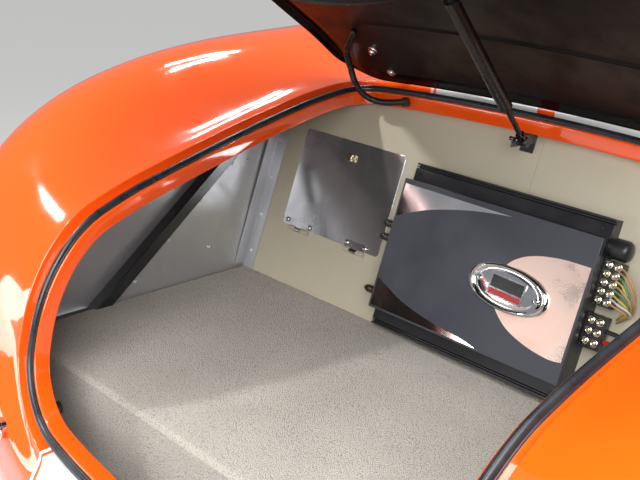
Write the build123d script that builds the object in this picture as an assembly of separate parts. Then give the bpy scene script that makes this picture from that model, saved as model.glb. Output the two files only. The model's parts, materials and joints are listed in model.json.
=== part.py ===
from build123d import *
import math
import os

# Boot section of a kit car roadster: the rear body moulding round the boot
# opening, its lid on strap hinges with a gas strut, and the lined boot below.
# X is to the car's right, Y forward, Z up, in millimetres. The origin is the
# centre of the four chassis bolts on the front face of the cross-member.

# Driving dimensions of the chassis and the boot floor
MEMBER_SIZE = 50.0
MEMBER_WALL = 3.0
MEMBER_OVERHANG = 6.0
BOLT_SPACING_X = 900.0
BOLT_SPACING_Z = 26.0
BOLT_HOLE_R = 4.2
FLOOR_SHEET = 2.0
CARPET = 5.0
FLOOR_DEPTH = 605.0
FLOOR_HALF_FRONT = 664.0
FLOOR_HALF_REAR = 629.0
RAIL_SIZE = 30.0
WELL_DROP = 150.0
SOFT_GAP = 0.3

# Bulkhead, side panels and their trims
BULKHEAD_LEAN = 15.0
BULKHEAD_SHEET = 1.5
BULKHEAD_HEIGHT = 465.0
BULKHEAD_SEAM_GAP = 0.6
ANGLE_LEG = 32.0
ANGLE_SHEET = 2.0
SIDE_SHEET = 1.5
BRACE_SIZE = 28.0
BRACE_TOP_Y = -85.0
BRACE_TOP_Z = 321.0
BRACE_SLOPE = 39.5
BRACE_PROUD = 13.0
BRACE_CLEAR = 1.0
PANEL_STEP = 34.0
RAIL_X = 400.0
WELL_HALF = 420.0
WELL_REAR_Y = -775.0
SIDE_TOP_Z = 425.0
BUMPER_X = 376.0
BUMPER_Z = 4.0
BUMPER_ROD_R = 11.0
ROD_BEHIND_FLOOR = 70.0
BUMPER_SHOULDER_Y = -812.0
BUMPER_STUD = 35.0
BUMPER_STUD_R = 8.0

# Top edge of the rear side panels behind the braces: y and z
REAR_SIDE_TOP = [(-70.0, 410.0), (-370.0, 350.0), (-540.0, 270.0), (-623.0, 200.0)]

# Rear body moulding
SKIN = 5.0
FRONT_EDGE_Y = 310.0
FRONT_EDGE_Z = 538.0
SAG_DECK = 9.7e-5
SAG_TAIL = 3.6e-4
OPENING_HALF_FRONT = 468.0
OPENING_HALF_REAR = 399.0
WAIST_AT = 540.0
OPENING_FRONT_AT = 206.0
OPENING_REAR_AT = 1388.0
FRONT_CORNER_R = 90.0
WAIST_R = 1500.0
REAR_CORNER_R = 150.0
WHEEL_ARCH_R = 370.0
WHEEL_ARCH_Y = 100.0
WHEEL_ARCH_Z = -88.0
WHEEL_ARCH_IN_X = 730.0
SIDE_STEPS = 14
CORNER_STEPS = 7

# Rows of the wing from the front edge to the centre of the tail: share of the
# way along it, then crown x, y, z, flank x, y, z and foot x, y, z
WING_ROWS = [
    (0.0, -700, 310, 607, -868, 310, 412, -838, 310, -200),
    (0.12, -700, 107, 588, -870, 107, 390, -840, 107, -200),
    (0.28, -698, -164, 555, -868, -164, 352, -838, -164, -200),
    (0.385, -692, -342, 515, -860, -342, 312, -830, -342, -200),
    (0.478, -680, -497, 456, -842, -497, 270, -812, -495, -205),
    (0.574, -655, -630, 370, -800, -600, 210, -775, -590, -215),
    (0.641, -610, -690, 290, -745, -675, 150, -725, -660, -225),
    (0.716, -545, -745, 190, -660, -730, 80, -640, -705, -235),
    (0.781, -450, -785, 70, -520, -775, -10, -500, -735, -242),
    (0.846, -290, -808, -45, -310, -802, -95, -300, -757, -247),
    (1.0, 0, -817, -60, 0, -810, -110, 0, -762, -248),
]

# Tail lamps let into the wing: place along the wing, step from its crown to
# its flank, and radius
STOP_LAMP = (0.69, 38.0)
TURN_LAMP = (0.745, 30.0)
LAMP_STEPS = 6
LAMP_BEZEL = 6.0
LAMP_PROUD = 9.0
LAMP_BEHIND = 14.0
LENS_FIT = 0.1
LENS_DOME_R = 60.0
LENS_RISE = 15.0

# Moulded gutter round the opening, its seal and the lid's edge gap
GUTTER_SHEET = 4.0
GUTTER_FLANGE = 20.0
GUTTER_BOND = 0.7
GUTTER_DEPTH = 18.0
GUTTER_WIDTH = 36.0
LIP_DEPTH = 46.0
SEAL_FROM = 17.0
SEAL_WIDTH = 16.0
SEAL_HEIGHT = 10.5
LID_GAP = 5.0
LID_SKIN = 4.0
LINER_INSET = 46.0
LINER_SHEET = 3.0
LINER_BOND = 0.6

# Lid opening, strap hinges and gas strut
LID_OPEN = 42.0
HINGE_X = 347.0
HINGE_RISE = 10.0
HINGE_SETBACK = 4.0
STRAP_SHEET = 3.0
STRAP_WIDTH = 34.0
HINGE_PIN_R = 3.0
KNUCKLE_R = 7.0
LID_STRAP_LENGTH = 165.0
DECK_STRAP_LENGTH = 70.0
STRUT_FOOT = (0.0, 16.0, 477.0)
STRUT_TOP = (0.0, -294.0, 730.0)
STRUT_R = 12.0
STRUT_EYE_R = 9.0
STRUT_FROM = 19.0
STRUT_EYE = 16.0
PIVOT_R = 4.0
CLEVIS_AT = 655.0
CLEVIS_HALF = 22.0
CLEVIS_SHEET = 3.0
FOOT_PAD_LOW = 425.0
FOOT_PAD_HIGH = 462.0
FOOT_PAD_WIDTH = 34.0
STRUT_BODY = 293.0
STRUT_BORE_DEPTH = 140.0
ROD_R = 5.0
ROD_INSIDE = 70.0
SOCKET_R = 10.0
RUN_FIT = 0.05

# Handle at the rear of the lid: place along the profile, then its base, neck and bar
HANDLE_AT = 1245.0
HANDLE_BASE_R = 17.0
HANDLE_BASE = 5.0
HANDLE_NECK_R = 7.0
HANDLE_NECK = 16.0
HANDLE_BAR_R = 6.0
HANDLE_BAR = 92.0

# Access panel in the bulkhead, as distances in the bulkhead's plane
DOOR_FROM_WALL = 88.0
DOOR_LEFT = -FLOOR_HALF_FRONT + DOOR_FROM_WALL
DOOR_RIGHT = -290.0
DOOR_LOW = 132.0
DOOR_HIGH = 356.0
DOOR_SHEET = 2.5
DOOR_CORNER_R = 9.0
DOOR_LAND = 14.0
DOOR_HINGE_IN = (54.0, 65.0)
DOOR_HINGE_WIDTH = 60.0
DOOR_KNUCKLE_R = 4.5
DOOR_PIN_R = 1.5
DOOR_LEAF = 1.5
LOCK_X = (DOOR_LEFT + DOOR_RIGHT) / 2 + 3
LOCK_UP = 319.0
LOCK_R = 9.0

# Amplifier on the bulkhead
AMP_LEFT = -238.0
AMP_RIGHT = 192.0
AMP_LOW = 42.0
AMP_HIGH = 314.0
AMP_BODY_HEIGHT = 50.0
AMP_COVER_HEIGHT = 12.0
AMP_RAIL = 36.0
AMP_RAIL_HEIGHT = 34.0
AMP_GROOVES = 2
AMP_GROOVE = 2.0
AMP_GROOVE_PITCH = 4.5
FITTING_OUT = 22.0
PLUG_UP = (73.0, 186.0, 214.0)
PLUG_R = 8.0
PLUG_LENGTH = 30.0
PLUG_OUT = 46.0
CAP_UP = 301.0
CAP_R = 19.0
CAP_LENGTH = 40.0
BLOCK_SPANS = ((120.0, 182.0), (198.0, 279.0))
BLOCK_LENGTH = 38.0

# Cables from the speaker block to their glands, as points in the bulkhead's plane:
# across, up and out
CABLE_R = 4.0
CABLE_FIRST_UP = 158.0
CABLE_PITCH = 19.0
CABLE_ROUTE = [(0, 0, 20), (24, 0, 20), (48, -3, 25), (74, -8, 35), (98, -15, 41), (117, -22, 34),
               (117, -22, 14)]
GLAND_R = 9.0
GLAND_LENGTH = 13.9

# Wiring loom from the lid to its ferrule on the lip
FERRULE_R = 10.0
FERRULE_LENGTH = 12.0
LOOM_R = 7.0
LOOM_ROUTE = [
    (-336, -93, 627), (-366, -70, 604), (-395, -41, 583), (-413, -12, 562), (-421, 12, 538),
    (-424, 29, 514), (-414, 41, 492), (-392, 47, 480), (-362, 52, 477), (-334, 56, 482),
    (-312, 59.6, 487),
]

# Centre profile of the body, from the front edge back over the tail:
# each row is an arc given by its length and by the degrees it turns down
PROFILE_ARCS = [
    (240.0, 5.0),
    (220.0, 9.5),
    (380.0, 1.5),
    (120.0, 6.0),
    (280.0, 54.0),
    (410.0, 45.0),
]


def profile(s):
    """Point (y, z) and downward heading of the centre profile at length s."""
    y, z, heading = FRONT_EDGE_Y, FRONT_EDGE_Z, 0.0
    for length, turn_deg in PROFILE_ARCS:
        turn = math.radians(turn_deg)
        radius = length / turn
        angle = min(max(s, 0.0), length) / radius
        y -= radius * (math.sin(heading + angle) - math.sin(heading))
        z += radius * (math.cos(heading + angle) - math.cos(heading))
        heading += angle
        s -= length
        if s <= 0:
            break
    return y, z, heading


def skin_point(x, s, depth):
    """Point of the body skin at width x and profile length s, depth below it."""
    y, z, heading = profile(s)
    sag = (SAG_DECK + (SAG_TAIL - SAG_DECK) * math.sin(heading) ** 2) * x * x + depth
    return Vector(x, y + sag * math.sin(heading), z - sag * math.cos(heading))


def opening_outline():
    """Left half of the opening's outline in the unrolled skin, front to rear.

    Each entry is (x, s, inward x, inward s)."""
    lean = math.atan2(OPENING_HALF_FRONT - OPENING_HALF_REAR, OPENING_REAR_AT - WAIST_AT)
    straight = OPENING_HALF_FRONT - FRONT_CORNER_R
    stations = [(-straight * share, OPENING_FRONT_AT, 0.0, 1.0) for share in (0.0, 0.35, 0.7)]
    for step in range(7):
        a = math.radians(15.0 * step)
        stations.append((-straight - FRONT_CORNER_R * math.sin(a),
                         OPENING_FRONT_AT + FRONT_CORNER_R * (1 - math.cos(a)),
                         math.sin(a), math.cos(a)))
    waist_tangent = WAIST_R * math.tan(lean / 2)
    corner_s = OPENING_FRONT_AT + FRONT_CORNER_R
    for share in (0.5, 1.0):
        s = corner_s + (WAIST_AT - waist_tangent - corner_s) * share
        stations.append((-OPENING_HALF_FRONT, s, 1.0, 0.0))
    for share in (0.5, 1.0):
        a = lean * share
        stations.append((-OPENING_HALF_FRONT + WAIST_R * (1 - math.cos(a)),
                         WAIST_AT - waist_tangent + WAIST_R * math.sin(a),
                         math.cos(a), -math.sin(a)))
    centre_s = OPENING_REAR_AT - REAR_CORNER_R
    half_at_centre = OPENING_HALF_REAR + REAR_CORNER_R * math.tan(lean)
    centre_x = -half_at_centre + REAR_CORNER_R / math.cos(lean)
    end_x = centre_x - REAR_CORNER_R * math.cos(lean)
    end_s = centre_s + REAR_CORNER_R * math.sin(lean)
    first = stations[-1]
    for step in range(1, SIDE_STEPS):
        share = step / SIDE_STEPS
        stations.append((first[0] + (end_x - first[0]) * share,
                         first[1] + (end_s - first[1]) * share,
                         math.cos(lean), -math.sin(lean)))
    for step in range(CORNER_STEPS + 1):
        a = lean + (math.pi / 2 - lean) * step / CORNER_STEPS
        stations.append((centre_x - REAR_CORNER_R * math.cos(a),
                         centre_s + REAR_CORNER_R * math.sin(a),
                         math.cos(a), -math.sin(a)))
    stations += [(centre_x * (1 - share), OPENING_REAR_AT, 0.0, -1.0) for share in (0.5, 1.0)]
    return stations


def both_halves(half):
    """The half on the left joined to its mirror image."""
    return half.fuse(half.mirror(Plane.YZ))


def ring(corners):
    """Solid that follows the opening's outline with (inward, depth) corners."""
    sections = []
    for x, s, in_x, in_s in opening_outline():
        points = [skin_point(x + d * in_x, s + d * in_s, h) for d, h in corners]
        sections.append(Wire.make_polygon(points, close=True))
    return both_halves(Solid.make_loft(sections, ruled=True))


def row_section(half_width, s, depth_from, depth_to):
    """Closed wire across the car at one profile length."""
    across = [half_width * (i / 4 - 1) for i in range(9)]
    top = Edge.make_spline([skin_point(x, s, depth_from) for x in across])
    low = Edge.make_spline([skin_point(x, s, depth_to) for x in reversed(across)])
    return Wire([top, Edge.make_line(top @ 1, low @ 0), low, Edge.make_line(low @ 1, top @ 0)])


def lid_patch(inset, depth_from, depth_to):
    """Sheet that fills the opening's outline up to an inset."""
    rows = []
    for x, s, in_x, in_s in opening_outline():
        half_width, at = -(x + inset * in_x), s + inset * in_s
        if half_width > 0.6 * OPENING_HALF_REAR:
            rows.append(row_section(half_width, at, depth_from, depth_to))
    return Solid.make_loft(rows[::-1], ruled=True)


def hermite(start, start_dir, end, end_dir, count):
    """Points of a cubic from start to end, without the end itself."""
    reach = (end - start).length
    points = []
    for i in range(count):
        t = i / count
        points.append(start * (2 * t**3 - 3 * t**2 + 1) + start_dir * (reach * (t**3 - 2 * t**2 + t))
                      + end * (3 * t**2 - 2 * t**3) + end_dir * (reach * (t**3 - t**2)))
    return points


def body_row(share):
    """Crown, flank and foot points of the wing at a share of the way along it."""
    rows = WING_ROWS
    i = max(k for k in range(len(rows) - 1) if rows[k][0] <= share)
    before, a, b, after = rows[max(i - 1, 0)], rows[i], rows[i + 1], rows[min(i + 2, len(rows) - 1)]
    span = b[0] - a[0]
    t = (share - a[0]) / span
    values = []
    for k in range(1, 10):
        slope_a = (b[k] - before[k]) / (b[0] - before[0]) * span
        slope_b = (after[k] - a[k]) / (after[0] - a[0]) * span
        values.append(a[k] * (2 * t**3 - 3 * t**2 + 1) + slope_a * (t**3 - 2 * t**2 + t)
                      + b[k] * (3 * t**2 - 2 * t**3) + slope_b * (t**3 - t**2))
    return Vector(*values[0:3]), Vector(*values[3:6]), Vector(*values[6:9])


def wing_stations():
    """Stations of the opening's outline that the wing is built on: x, s, out and share."""
    outline = opening_outline()
    corner_end = next(i for i, t in enumerate(outline) if t[2] > 0.9999)
    s_corner = outline[corner_end][1]
    stations = [(-OPENING_HALF_FRONT, s_corner * i / 4, 1.0, 0.0) for i in range(4)]
    stations += outline[corner_end:]
    lengths = [0.0]
    for before, after in zip(stations, stations[1:]):
        lengths.append(lengths[-1] + math.hypot(after[0] - before[0], after[1] - before[1]))
    return [(x, s, (-in_x, in_s), length / lengths[-1])
            for (x, s, in_x, in_s), length in zip(stations, lengths)]


def outward(run, over):
    """Unit normal of the wing's skin, where its section runs along run."""
    return Vector(-run.Z * over.X, -run.Z * over.Y, run.dot(over)).normalized()


def wing_points(x, s, out, share):
    """Points of the wing's outer skin from the opening's edge out and down."""
    edge = skin_point(x, s, 0)
    crown, flank, foot = body_row(share)
    blend = min(1.0, max(0.0, -out[1])) ** 2
    edge_dir = Vector(out[0], out[1], 0) * (1 - blend) + Vector(0, 0, -1) * blend
    edge_dir = (edge_dir + Vector(0, 0, 0.18 * (1 - blend))).normalized()
    over = Vector(out[0], out[1], 0)
    crown_dir = (over * (1 - blend) + Vector(0, 0, -1) * blend).normalized()
    flank_dir = ((foot - flank).normalized() * 0.25 + Vector(0, 0, -1)).normalized()
    foot_dir = (foot - flank).normalized()
    return (hermite(edge, edge_dir, crown, crown_dir, 4)
            + hermite(crown, crown_dir, flank, flank_dir, 4)
            + hermite(flank, flank_dir, foot, foot_dir, 3) + [foot]), over


def wing_section(x, s, out, share):
    """Closed wire of the wing's skin at one station."""
    points, over = wing_points(x, s, out, share)
    inner = [skin_point(x, s, SKIN)]
    for i in range(1, len(points)):
        ahead = points[min(i + 1, len(points) - 1)]
        inner.append(points[i] - outward(ahead - points[i - 1], over) * SKIN)
    top = Edge.make_spline(points)
    low = Edge.make_spline(inner[::-1])
    return Wire([top, Edge.make_line(top @ 1, low @ 0), low, Edge.make_line(low @ 1, top @ 0)])


def deck_section(x, s_end):
    """Closed wire of the deck ahead of the opening, at one width."""
    lengths = [s_end * i / 4 for i in range(5)]
    points = [skin_point(x, s, 0) for s in lengths] + [skin_point(x, s, SKIN) for s in lengths[::-1]]
    return Wire.make_polygon(points, close=True)


def lamp_plane(lamp):
    """Plane on the left wing's skin that a tail lamp faces out of."""
    share = lamp[0]
    station = min(wing_stations(), key=lambda row: abs(row[3] - share))
    points, over = wing_points(*station)
    run = points[LAMP_STEPS + 1] - points[LAMP_STEPS - 1]
    return Plane(origin=points[LAMP_STEPS], z_dir=outward(run, over))


def tail_lamp(lamp):
    """Bezel and lens of one tail lamp, and the hole that takes it."""
    plane, radius = lamp_plane(lamp), lamp[1]
    back = plane.offset(-LAMP_BEHIND)
    depth = LAMP_BEHIND + LAMP_PROUD
    clear = radius - LAMP_BEZEL
    bezel = Solid.make_cylinder(radius, depth, back) - Solid.make_cylinder(clear, depth, back)
    dome = Solid.make_cylinder(clear - LENS_FIT, LAMP_BEHIND + LENS_RISE, back)
    dome = dome & (plane.offset(LENS_RISE - LENS_DOME_R) * Sphere(LENS_DOME_R))
    hole = Solid.make_cylinder(radius + SOFT_GAP, 2 * depth, plane.offset(-depth))
    return bezel, dome, hole


def lid_handle():
    """Turning handle on the lid's outer skin, with the lid closed."""
    y, z, heading = profile(HANDLE_AT)
    plane = Plane(origin=(0, y, z), x_dir=(1, 0, 0), z_dir=(0, -math.sin(heading), math.cos(heading)))
    base = Solid.make_cylinder(HANDLE_BASE_R, HANDLE_BASE, plane.offset(SOFT_GAP))
    neck = Solid.make_cylinder(HANDLE_NECK_R, HANDLE_NECK, plane.offset(SOFT_GAP))
    bar = plane * Pos(0, 0, HANDLE_NECK) * Rot(0, 90, 0) * Cylinder(HANDLE_BAR_R, HANDLE_BAR)
    return base.fuse(neck).fuse(bar)


def tail_shell():
    """Rear body moulding: deck, both wings and the tail round the opening."""
    outline = opening_outline()
    corner_end = next(i for i, t in enumerate(outline) if t[2] > 0.9999)
    deck = Solid.make_loft([deck_section(x, s) for x, s, in_x, in_s in outline[:corner_end + 1]],
                           ruled=True)
    wing = Solid.make_loft([wing_section(*station) for station in wing_stations()], ruled=True)
    arch = rod_between((-BODY_OUTSIDE, WHEEL_ARCH_Y, WHEEL_ARCH_Z),
                       (-WHEEL_ARCH_IN_X, WHEEL_ARCH_Y, WHEEL_ARCH_Z), WHEEL_ARCH_R)
    half = deck.fuse(wing) - arch
    rod_hole = rod_between((-BUMPER_X, FLOOR_REAR_Y, BUMPER_Z), (-BUMPER_X, -BODY_OUTSIDE, BUMPER_Z),
                           BUMPER_ROD_R + SOFT_GAP)
    half -= rod_hole
    for lamp in (STOP_LAMP, TURN_LAMP):
        half -= tail_lamp(lamp)[2]
    return both_halves(half)


def box_between(low, high):
    """Box between two corners."""
    size = [b - a for a, b in zip(low, high)]
    centre = [(a + b) / 2 for a, b in zip(low, high)]
    return Pos(*centre) * Box(*size)


def rod_between(start, end, radius):
    """Round bar between two points."""
    start, end = Vector(*start), Vector(*end)
    return Solid.make_cylinder(radius, (end - start).length, Plane(origin=start, z_dir=end - start))


def bar_between(start, end, width, height, side=(1, 0, 0)):
    """Rectangular bar between two points; its width runs along the side vector."""
    start, end = Vector(*start), Vector(*end)
    plane = Plane(origin=start, x_dir=side, z_dir=end - start)
    length = (end - start).length
    return plane * Pos(0, 0, length / 2) * Box(width, height, length)


def mirrored(solid):
    """The piece on the car's other side."""
    return solid.mirror(Plane.YZ)


FLOOR_Z = MEMBER_SIZE / 2 + FLOOR_SHEET + CARPET
SHEET_Z = MEMBER_SIZE / 2 + FLOOR_SHEET
BULKHEAD_Y = -0.4 * MEMBER_SIZE
FLOOR_REAR_Y = BULKHEAD_Y - FLOOR_DEPTH
BODY_OUTSIDE = -min(min(row[1:]) for row in WING_ROWS) + 2 * SKIN
MEMBER_LENGTH = 2 * (max(FLOOR_HALF_FRONT, FLOOR_HALF_REAR) + MEMBER_OVERHANG)
LEAN = math.radians(BULKHEAD_LEAN)
BULKHEAD = Plane(origin=(0, BULKHEAD_Y, FLOOR_Z), x_dir=(1, 0, 0),
                 z_dir=(0, -math.cos(LEAN), math.sin(LEAN)))
HINGE_POINT = skin_point(HINGE_X, OPENING_FRONT_AT + HINGE_SETBACK / 2, -HINGE_RISE)
LID_AXIS = Axis((0, HINGE_POINT.Y, HINGE_POINT.Z), (1, 0, 0))


def on_bulkhead(low, high):
    """Box in the bulkhead's plane: across, up and out of it."""
    return BULKHEAD * box_between(low, high)


def wall_x(y):
    """Inner face of the left side wall at a distance back."""
    share = (BULKHEAD_Y - y) / FLOOR_DEPTH
    return -FLOOR_HALF_FRONT + (FLOOR_HALF_FRONT - FLOOR_HALF_REAR) * share


def side_sheet(outline, gap_out, thickness):
    """Upright sheet along the left side wall from its (y, z) outline."""
    inner = [Vector(wall_x(y) - gap_out, y, z) for y, z in outline]
    outer = [p - Vector(thickness, 0, 0) for p in inner]
    return Solid.make_loft([Wire.make_polygon(inner, close=True),
                            Wire.make_polygon(outer, close=True)], ruled=True)


def cross_member():
    """Box tube across the chassis with the bolt holes through it."""
    half = MEMBER_SIZE / 2
    outer = box_between((-MEMBER_LENGTH / 2, -MEMBER_SIZE, -half), (MEMBER_LENGTH / 2, 0, half))
    inner = half - MEMBER_WALL
    tube = outer - box_between((-MEMBER_LENGTH, -MEMBER_SIZE + MEMBER_WALL, -inner),
                               (MEMBER_LENGTH, -MEMBER_WALL, inner))
    for x in (-BOLT_SPACING_X / 2, BOLT_SPACING_X / 2):
        for z in (-BOLT_SPACING_Z / 2, BOLT_SPACING_Z / 2):
            tube -= rod_between((x, 1, z), (x, -MEMBER_SIZE - 1, z), BOLT_HOLE_R)
    return tube


def floor_tray(low_z, high_z, front_y, side_gap):
    """Flat layer of the floor between the side walls."""
    corners = [(wall_x(front_y) + side_gap, front_y), (wall_x(FLOOR_REAR_Y) + side_gap, FLOOR_REAR_Y),
               (-wall_x(FLOOR_REAR_Y) - side_gap, FLOOR_REAR_Y), (-wall_x(front_y) - side_gap, front_y)]
    wire = Wire.make_polygon([Vector(x, y, low_z) for x, y in corners], close=True)
    return Solid.extrude(Face(wire), Vector(0, 0, high_z - low_z))


def bulkhead_half():
    """Left half of the bulkhead sheet, with the hole behind the access panel."""
    sheet = on_bulkhead((-FLOOR_HALF_FRONT - 1, -CARPET + SOFT_GAP, -BULKHEAD_SHEET),
                        (-BULKHEAD_SEAM_GAP / 2, BULKHEAD_HEIGHT, 0))
    hole = on_bulkhead((DOOR_LEFT + DOOR_LAND, DOOR_LOW + DOOR_LAND, -10),
                       (DOOR_RIGHT - DOOR_LAND, DOOR_HIGH - DOOR_LAND, 10))
    return sheet, sheet - hole


def corner_angle():
    """Angle strip in the corner of the bulkhead and the left side wall."""
    x = max(wall_x(BULKHEAD_Y - ANGLE_LEG), wall_x(BULKHEAD_Y + BULKHEAD_HEIGHT * math.sin(LEAN)))
    x += SOFT_GAP
    on_wall = on_bulkhead((x, 0, SOFT_GAP), (x + ANGLE_SHEET, BULKHEAD_HEIGHT - 20, ANGLE_LEG))
    on_sheet = on_bulkhead((x, 0, SOFT_GAP), (x + ANGLE_LEG, BULKHEAD_HEIGHT - 20,
                                              SOFT_GAP + ANGLE_SHEET))
    return on_wall.fuse(on_sheet)


def brace_point(z):
    """Centre of the left brace at a height."""
    y = BRACE_TOP_Y - (BRACE_TOP_Z - z) / math.tan(math.radians(BRACE_SLOPE))
    return Vector(wall_x(y) - BRACE_SIZE / 2 + BRACE_PROUD, y, z)


def brace():
    """Square tube that runs from under the wing down to the floor sheet."""
    low = SHEET_Z - BRACE_SIZE
    bar = bar_between(tuple(brace_point(BRACE_TOP_Z)), tuple(brace_point(low)), BRACE_SIZE, BRACE_SIZE)
    y = brace_point(low).Y
    return bar - box_between((-BODY_OUTSIDE, y - 2 * BRACE_SIZE, low - BRACE_SIZE),
                             (0, y + 4 * BRACE_SIZE, SHEET_Z))


def carpet_notch():
    """Cut in the floor carpet round the left brace's foot."""
    half = BRACE_SIZE / 2 / math.sin(math.radians(BRACE_SLOPE)) + BRACE_CLEAR
    low, high = brace_point(SHEET_Z), brace_point(FLOOR_Z)
    return box_between((-BODY_OUTSIDE, low.Y - half, SHEET_Z - 1),
                       (low.X + BRACE_SIZE / 2 + BRACE_CLEAR, high.Y + half, FLOOR_Z + 1))


def bumper_rod():
    """Bumper mounting rod with the stud at its outer end."""
    shoulder = (-BUMPER_X, BUMPER_SHOULDER_Y, BUMPER_Z)
    rod = rod_between((-BUMPER_X, FLOOR_REAR_Y - ROD_BEHIND_FLOOR, BUMPER_Z), shoulder, BUMPER_ROD_R)
    stud = rod_between(shoulder, (-BUMPER_X, BUMPER_SHOULDER_Y - BUMPER_STUD, BUMPER_Z),
                       BUMPER_STUD_R)
    return rod.fuse(stud)


def strap(x_centre, s_from, s_to, depth_from, depth_to):
    """Hinge leaf that lies along the skin."""
    sections = []
    for i in range(5):
        s = s_from + (s_to - s_from) * i / 4
        ends = (x_centre - STRAP_WIDTH / 2, x_centre + STRAP_WIDTH / 2)
        points = [skin_point(ends[0], s, depth_from), skin_point(ends[1], s, depth_from),
                  skin_point(ends[1], s, depth_to), skin_point(ends[0], s, depth_to)]
        sections.append(Wire.make_polygon(points, close=True))
    return Solid.make_loft(sections, ruled=True)


def knuckle(x_from, x_to, s_web):
    """Barrel piece of a lid hinge with the web that joins it to its leaf."""
    y, z = LID_AXIS.position.Y, LID_AXIS.position.Z
    barrel = rod_between((x_from, y, z), (x_to, y, z), KNUCKLE_R)
    foot = [skin_point(x, s_web, depth) for x in (x_from, x_to)
            for depth in (-SOFT_GAP, -SOFT_GAP - STRAP_SHEET)]
    web = Solid.make_loft([Wire.make_polygon([foot[0], foot[1], foot[3], foot[2]], close=True),
                           Wire.make_polygon([Vector(x_from, y, z - KNUCKLE_R + 0.5),
                                              Vector(x_from, y, z - 1),
                                              Vector(x_to, y, z - 1),
                                              Vector(x_to, y, z - KNUCKLE_R + 0.5)], close=True)],
                          ruled=True)
    bore = rod_between((x_from - 1, y, z), (x_to + 1, y, z), HINGE_PIN_R + RUN_FIT)
    return barrel.fuse(web), bore


def hinge_leaves(x_centre):
    """Deck leaf, lid leaf and pin of one strap hinge, with the lid closed."""
    third = STRAP_WIDTH / 3
    left = x_centre - STRAP_WIDTH / 2
    deck_leaf = strap(x_centre, OPENING_FRONT_AT - DECK_STRAP_LENGTH, OPENING_FRONT_AT - 9,
                      -SOFT_GAP - STRAP_SHEET, -SOFT_GAP)
    lid_leaf = strap(x_centre, OPENING_FRONT_AT + 15, OPENING_FRONT_AT + LID_STRAP_LENGTH,
                     -SOFT_GAP - STRAP_SHEET, -SOFT_GAP)
    for i in (0, 2):
        piece, bore = knuckle(left + third * i + 0.3 * (i > 0), left + third * (i + 1) - 0.3 * (i == 0),
                              OPENING_FRONT_AT - 10)
        deck_leaf = deck_leaf.fuse(piece) - bore
    piece, bore = knuckle(left + third + 0.3, left + 2 * third - 0.3, OPENING_FRONT_AT + 16)
    lid_leaf = lid_leaf.fuse(piece) - bore
    y, z = LID_AXIS.position.Y, LID_AXIS.position.Z
    pin = rod_between((left, y, z), (left + STRAP_WIDTH, y, z), HINGE_PIN_R)
    return deck_leaf, lid_leaf, pin


def door_hinge(centre):
    """Pin, door leaf and fixed leaf of one access panel hinge."""
    low = centre - DOOR_HINGE_WIDTH / 2
    third = DOOR_HINGE_WIDTH / 3
    up, out = DOOR_LOW - DOOR_KNUCKLE_R - 1.5, DOOR_KNUCKLE_R + SOFT_GAP

    def along(x_from, x_to, radius):
        ends = [BULKHEAD.from_local_coords(Vector(x, up, out)) for x in (x_from, x_to)]
        return rod_between(tuple(ends[0]), tuple(ends[1]), radius)

    bore = along(low - 1, low + DOOR_HINGE_WIDTH + 1, DOOR_PIN_R + RUN_FIT)
    pin = along(low, low + DOOR_HINGE_WIDTH, DOOR_PIN_R)
    fixed = on_bulkhead((low, up - 20, SOFT_GAP), (low + DOOR_HINGE_WIDTH, up - 6, SOFT_GAP + DOOR_LEAF))
    for i in (0, 2):
        start, end = low + third * i, low + third * (i + 1)
        web = on_bulkhead((start, up - 7, SOFT_GAP), (end, up, SOFT_GAP + DOOR_LEAF))
        fixed = fixed.fuse(web).fuse(along(start, end, DOOR_KNUCKLE_R))
    start, end = low + third + 0.3, low + 2 * third - 0.3
    face = 2 * SOFT_GAP + DOOR_SHEET
    moving = on_bulkhead((low, DOOR_LOW + 1, face), (low + DOOR_HINGE_WIDTH, DOOR_LOW + 15,
                                                     face + DOOR_LEAF))
    web = on_bulkhead((start, up, face), (end, DOOR_LOW + 2, face + DOOR_LEAF))
    moving = moving.fuse(web).fuse(along(start, end, DOOR_KNUCKLE_R))
    return pin, moving - bore, fixed - bore


def amplifier():
    """Finned body and raised cover of the amplifier."""
    low, high = AMP_LOW - AMP_RAIL, AMP_HIGH + AMP_RAIL
    body = on_bulkhead((AMP_LEFT, low, SOFT_GAP), (AMP_RIGHT, high, AMP_RAIL_HEIGHT))
    for i in range(AMP_GROOVES):
        for start in (low + 4 + i * AMP_GROOVE_PITCH, high - 4 - AMP_GROOVE - i * AMP_GROOVE_PITCH):
            body -= on_bulkhead((AMP_LEFT - 1, start, AMP_RAIL_HEIGHT - 9),
                                (AMP_RIGHT + 1, start + AMP_GROOVE, AMP_RAIL_HEIGHT + 1))
    body = body.fuse(on_bulkhead((AMP_LEFT, AMP_LOW, AMP_RAIL_HEIGHT - 1),
                                 (AMP_RIGHT, AMP_HIGH, AMP_BODY_HEIGHT)))
    cover = on_bulkhead((AMP_LEFT, AMP_LOW, AMP_BODY_HEIGHT),
                        (AMP_RIGHT, AMP_HIGH, AMP_BODY_HEIGHT + AMP_COVER_HEIGHT))
    return body, cover


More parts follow.
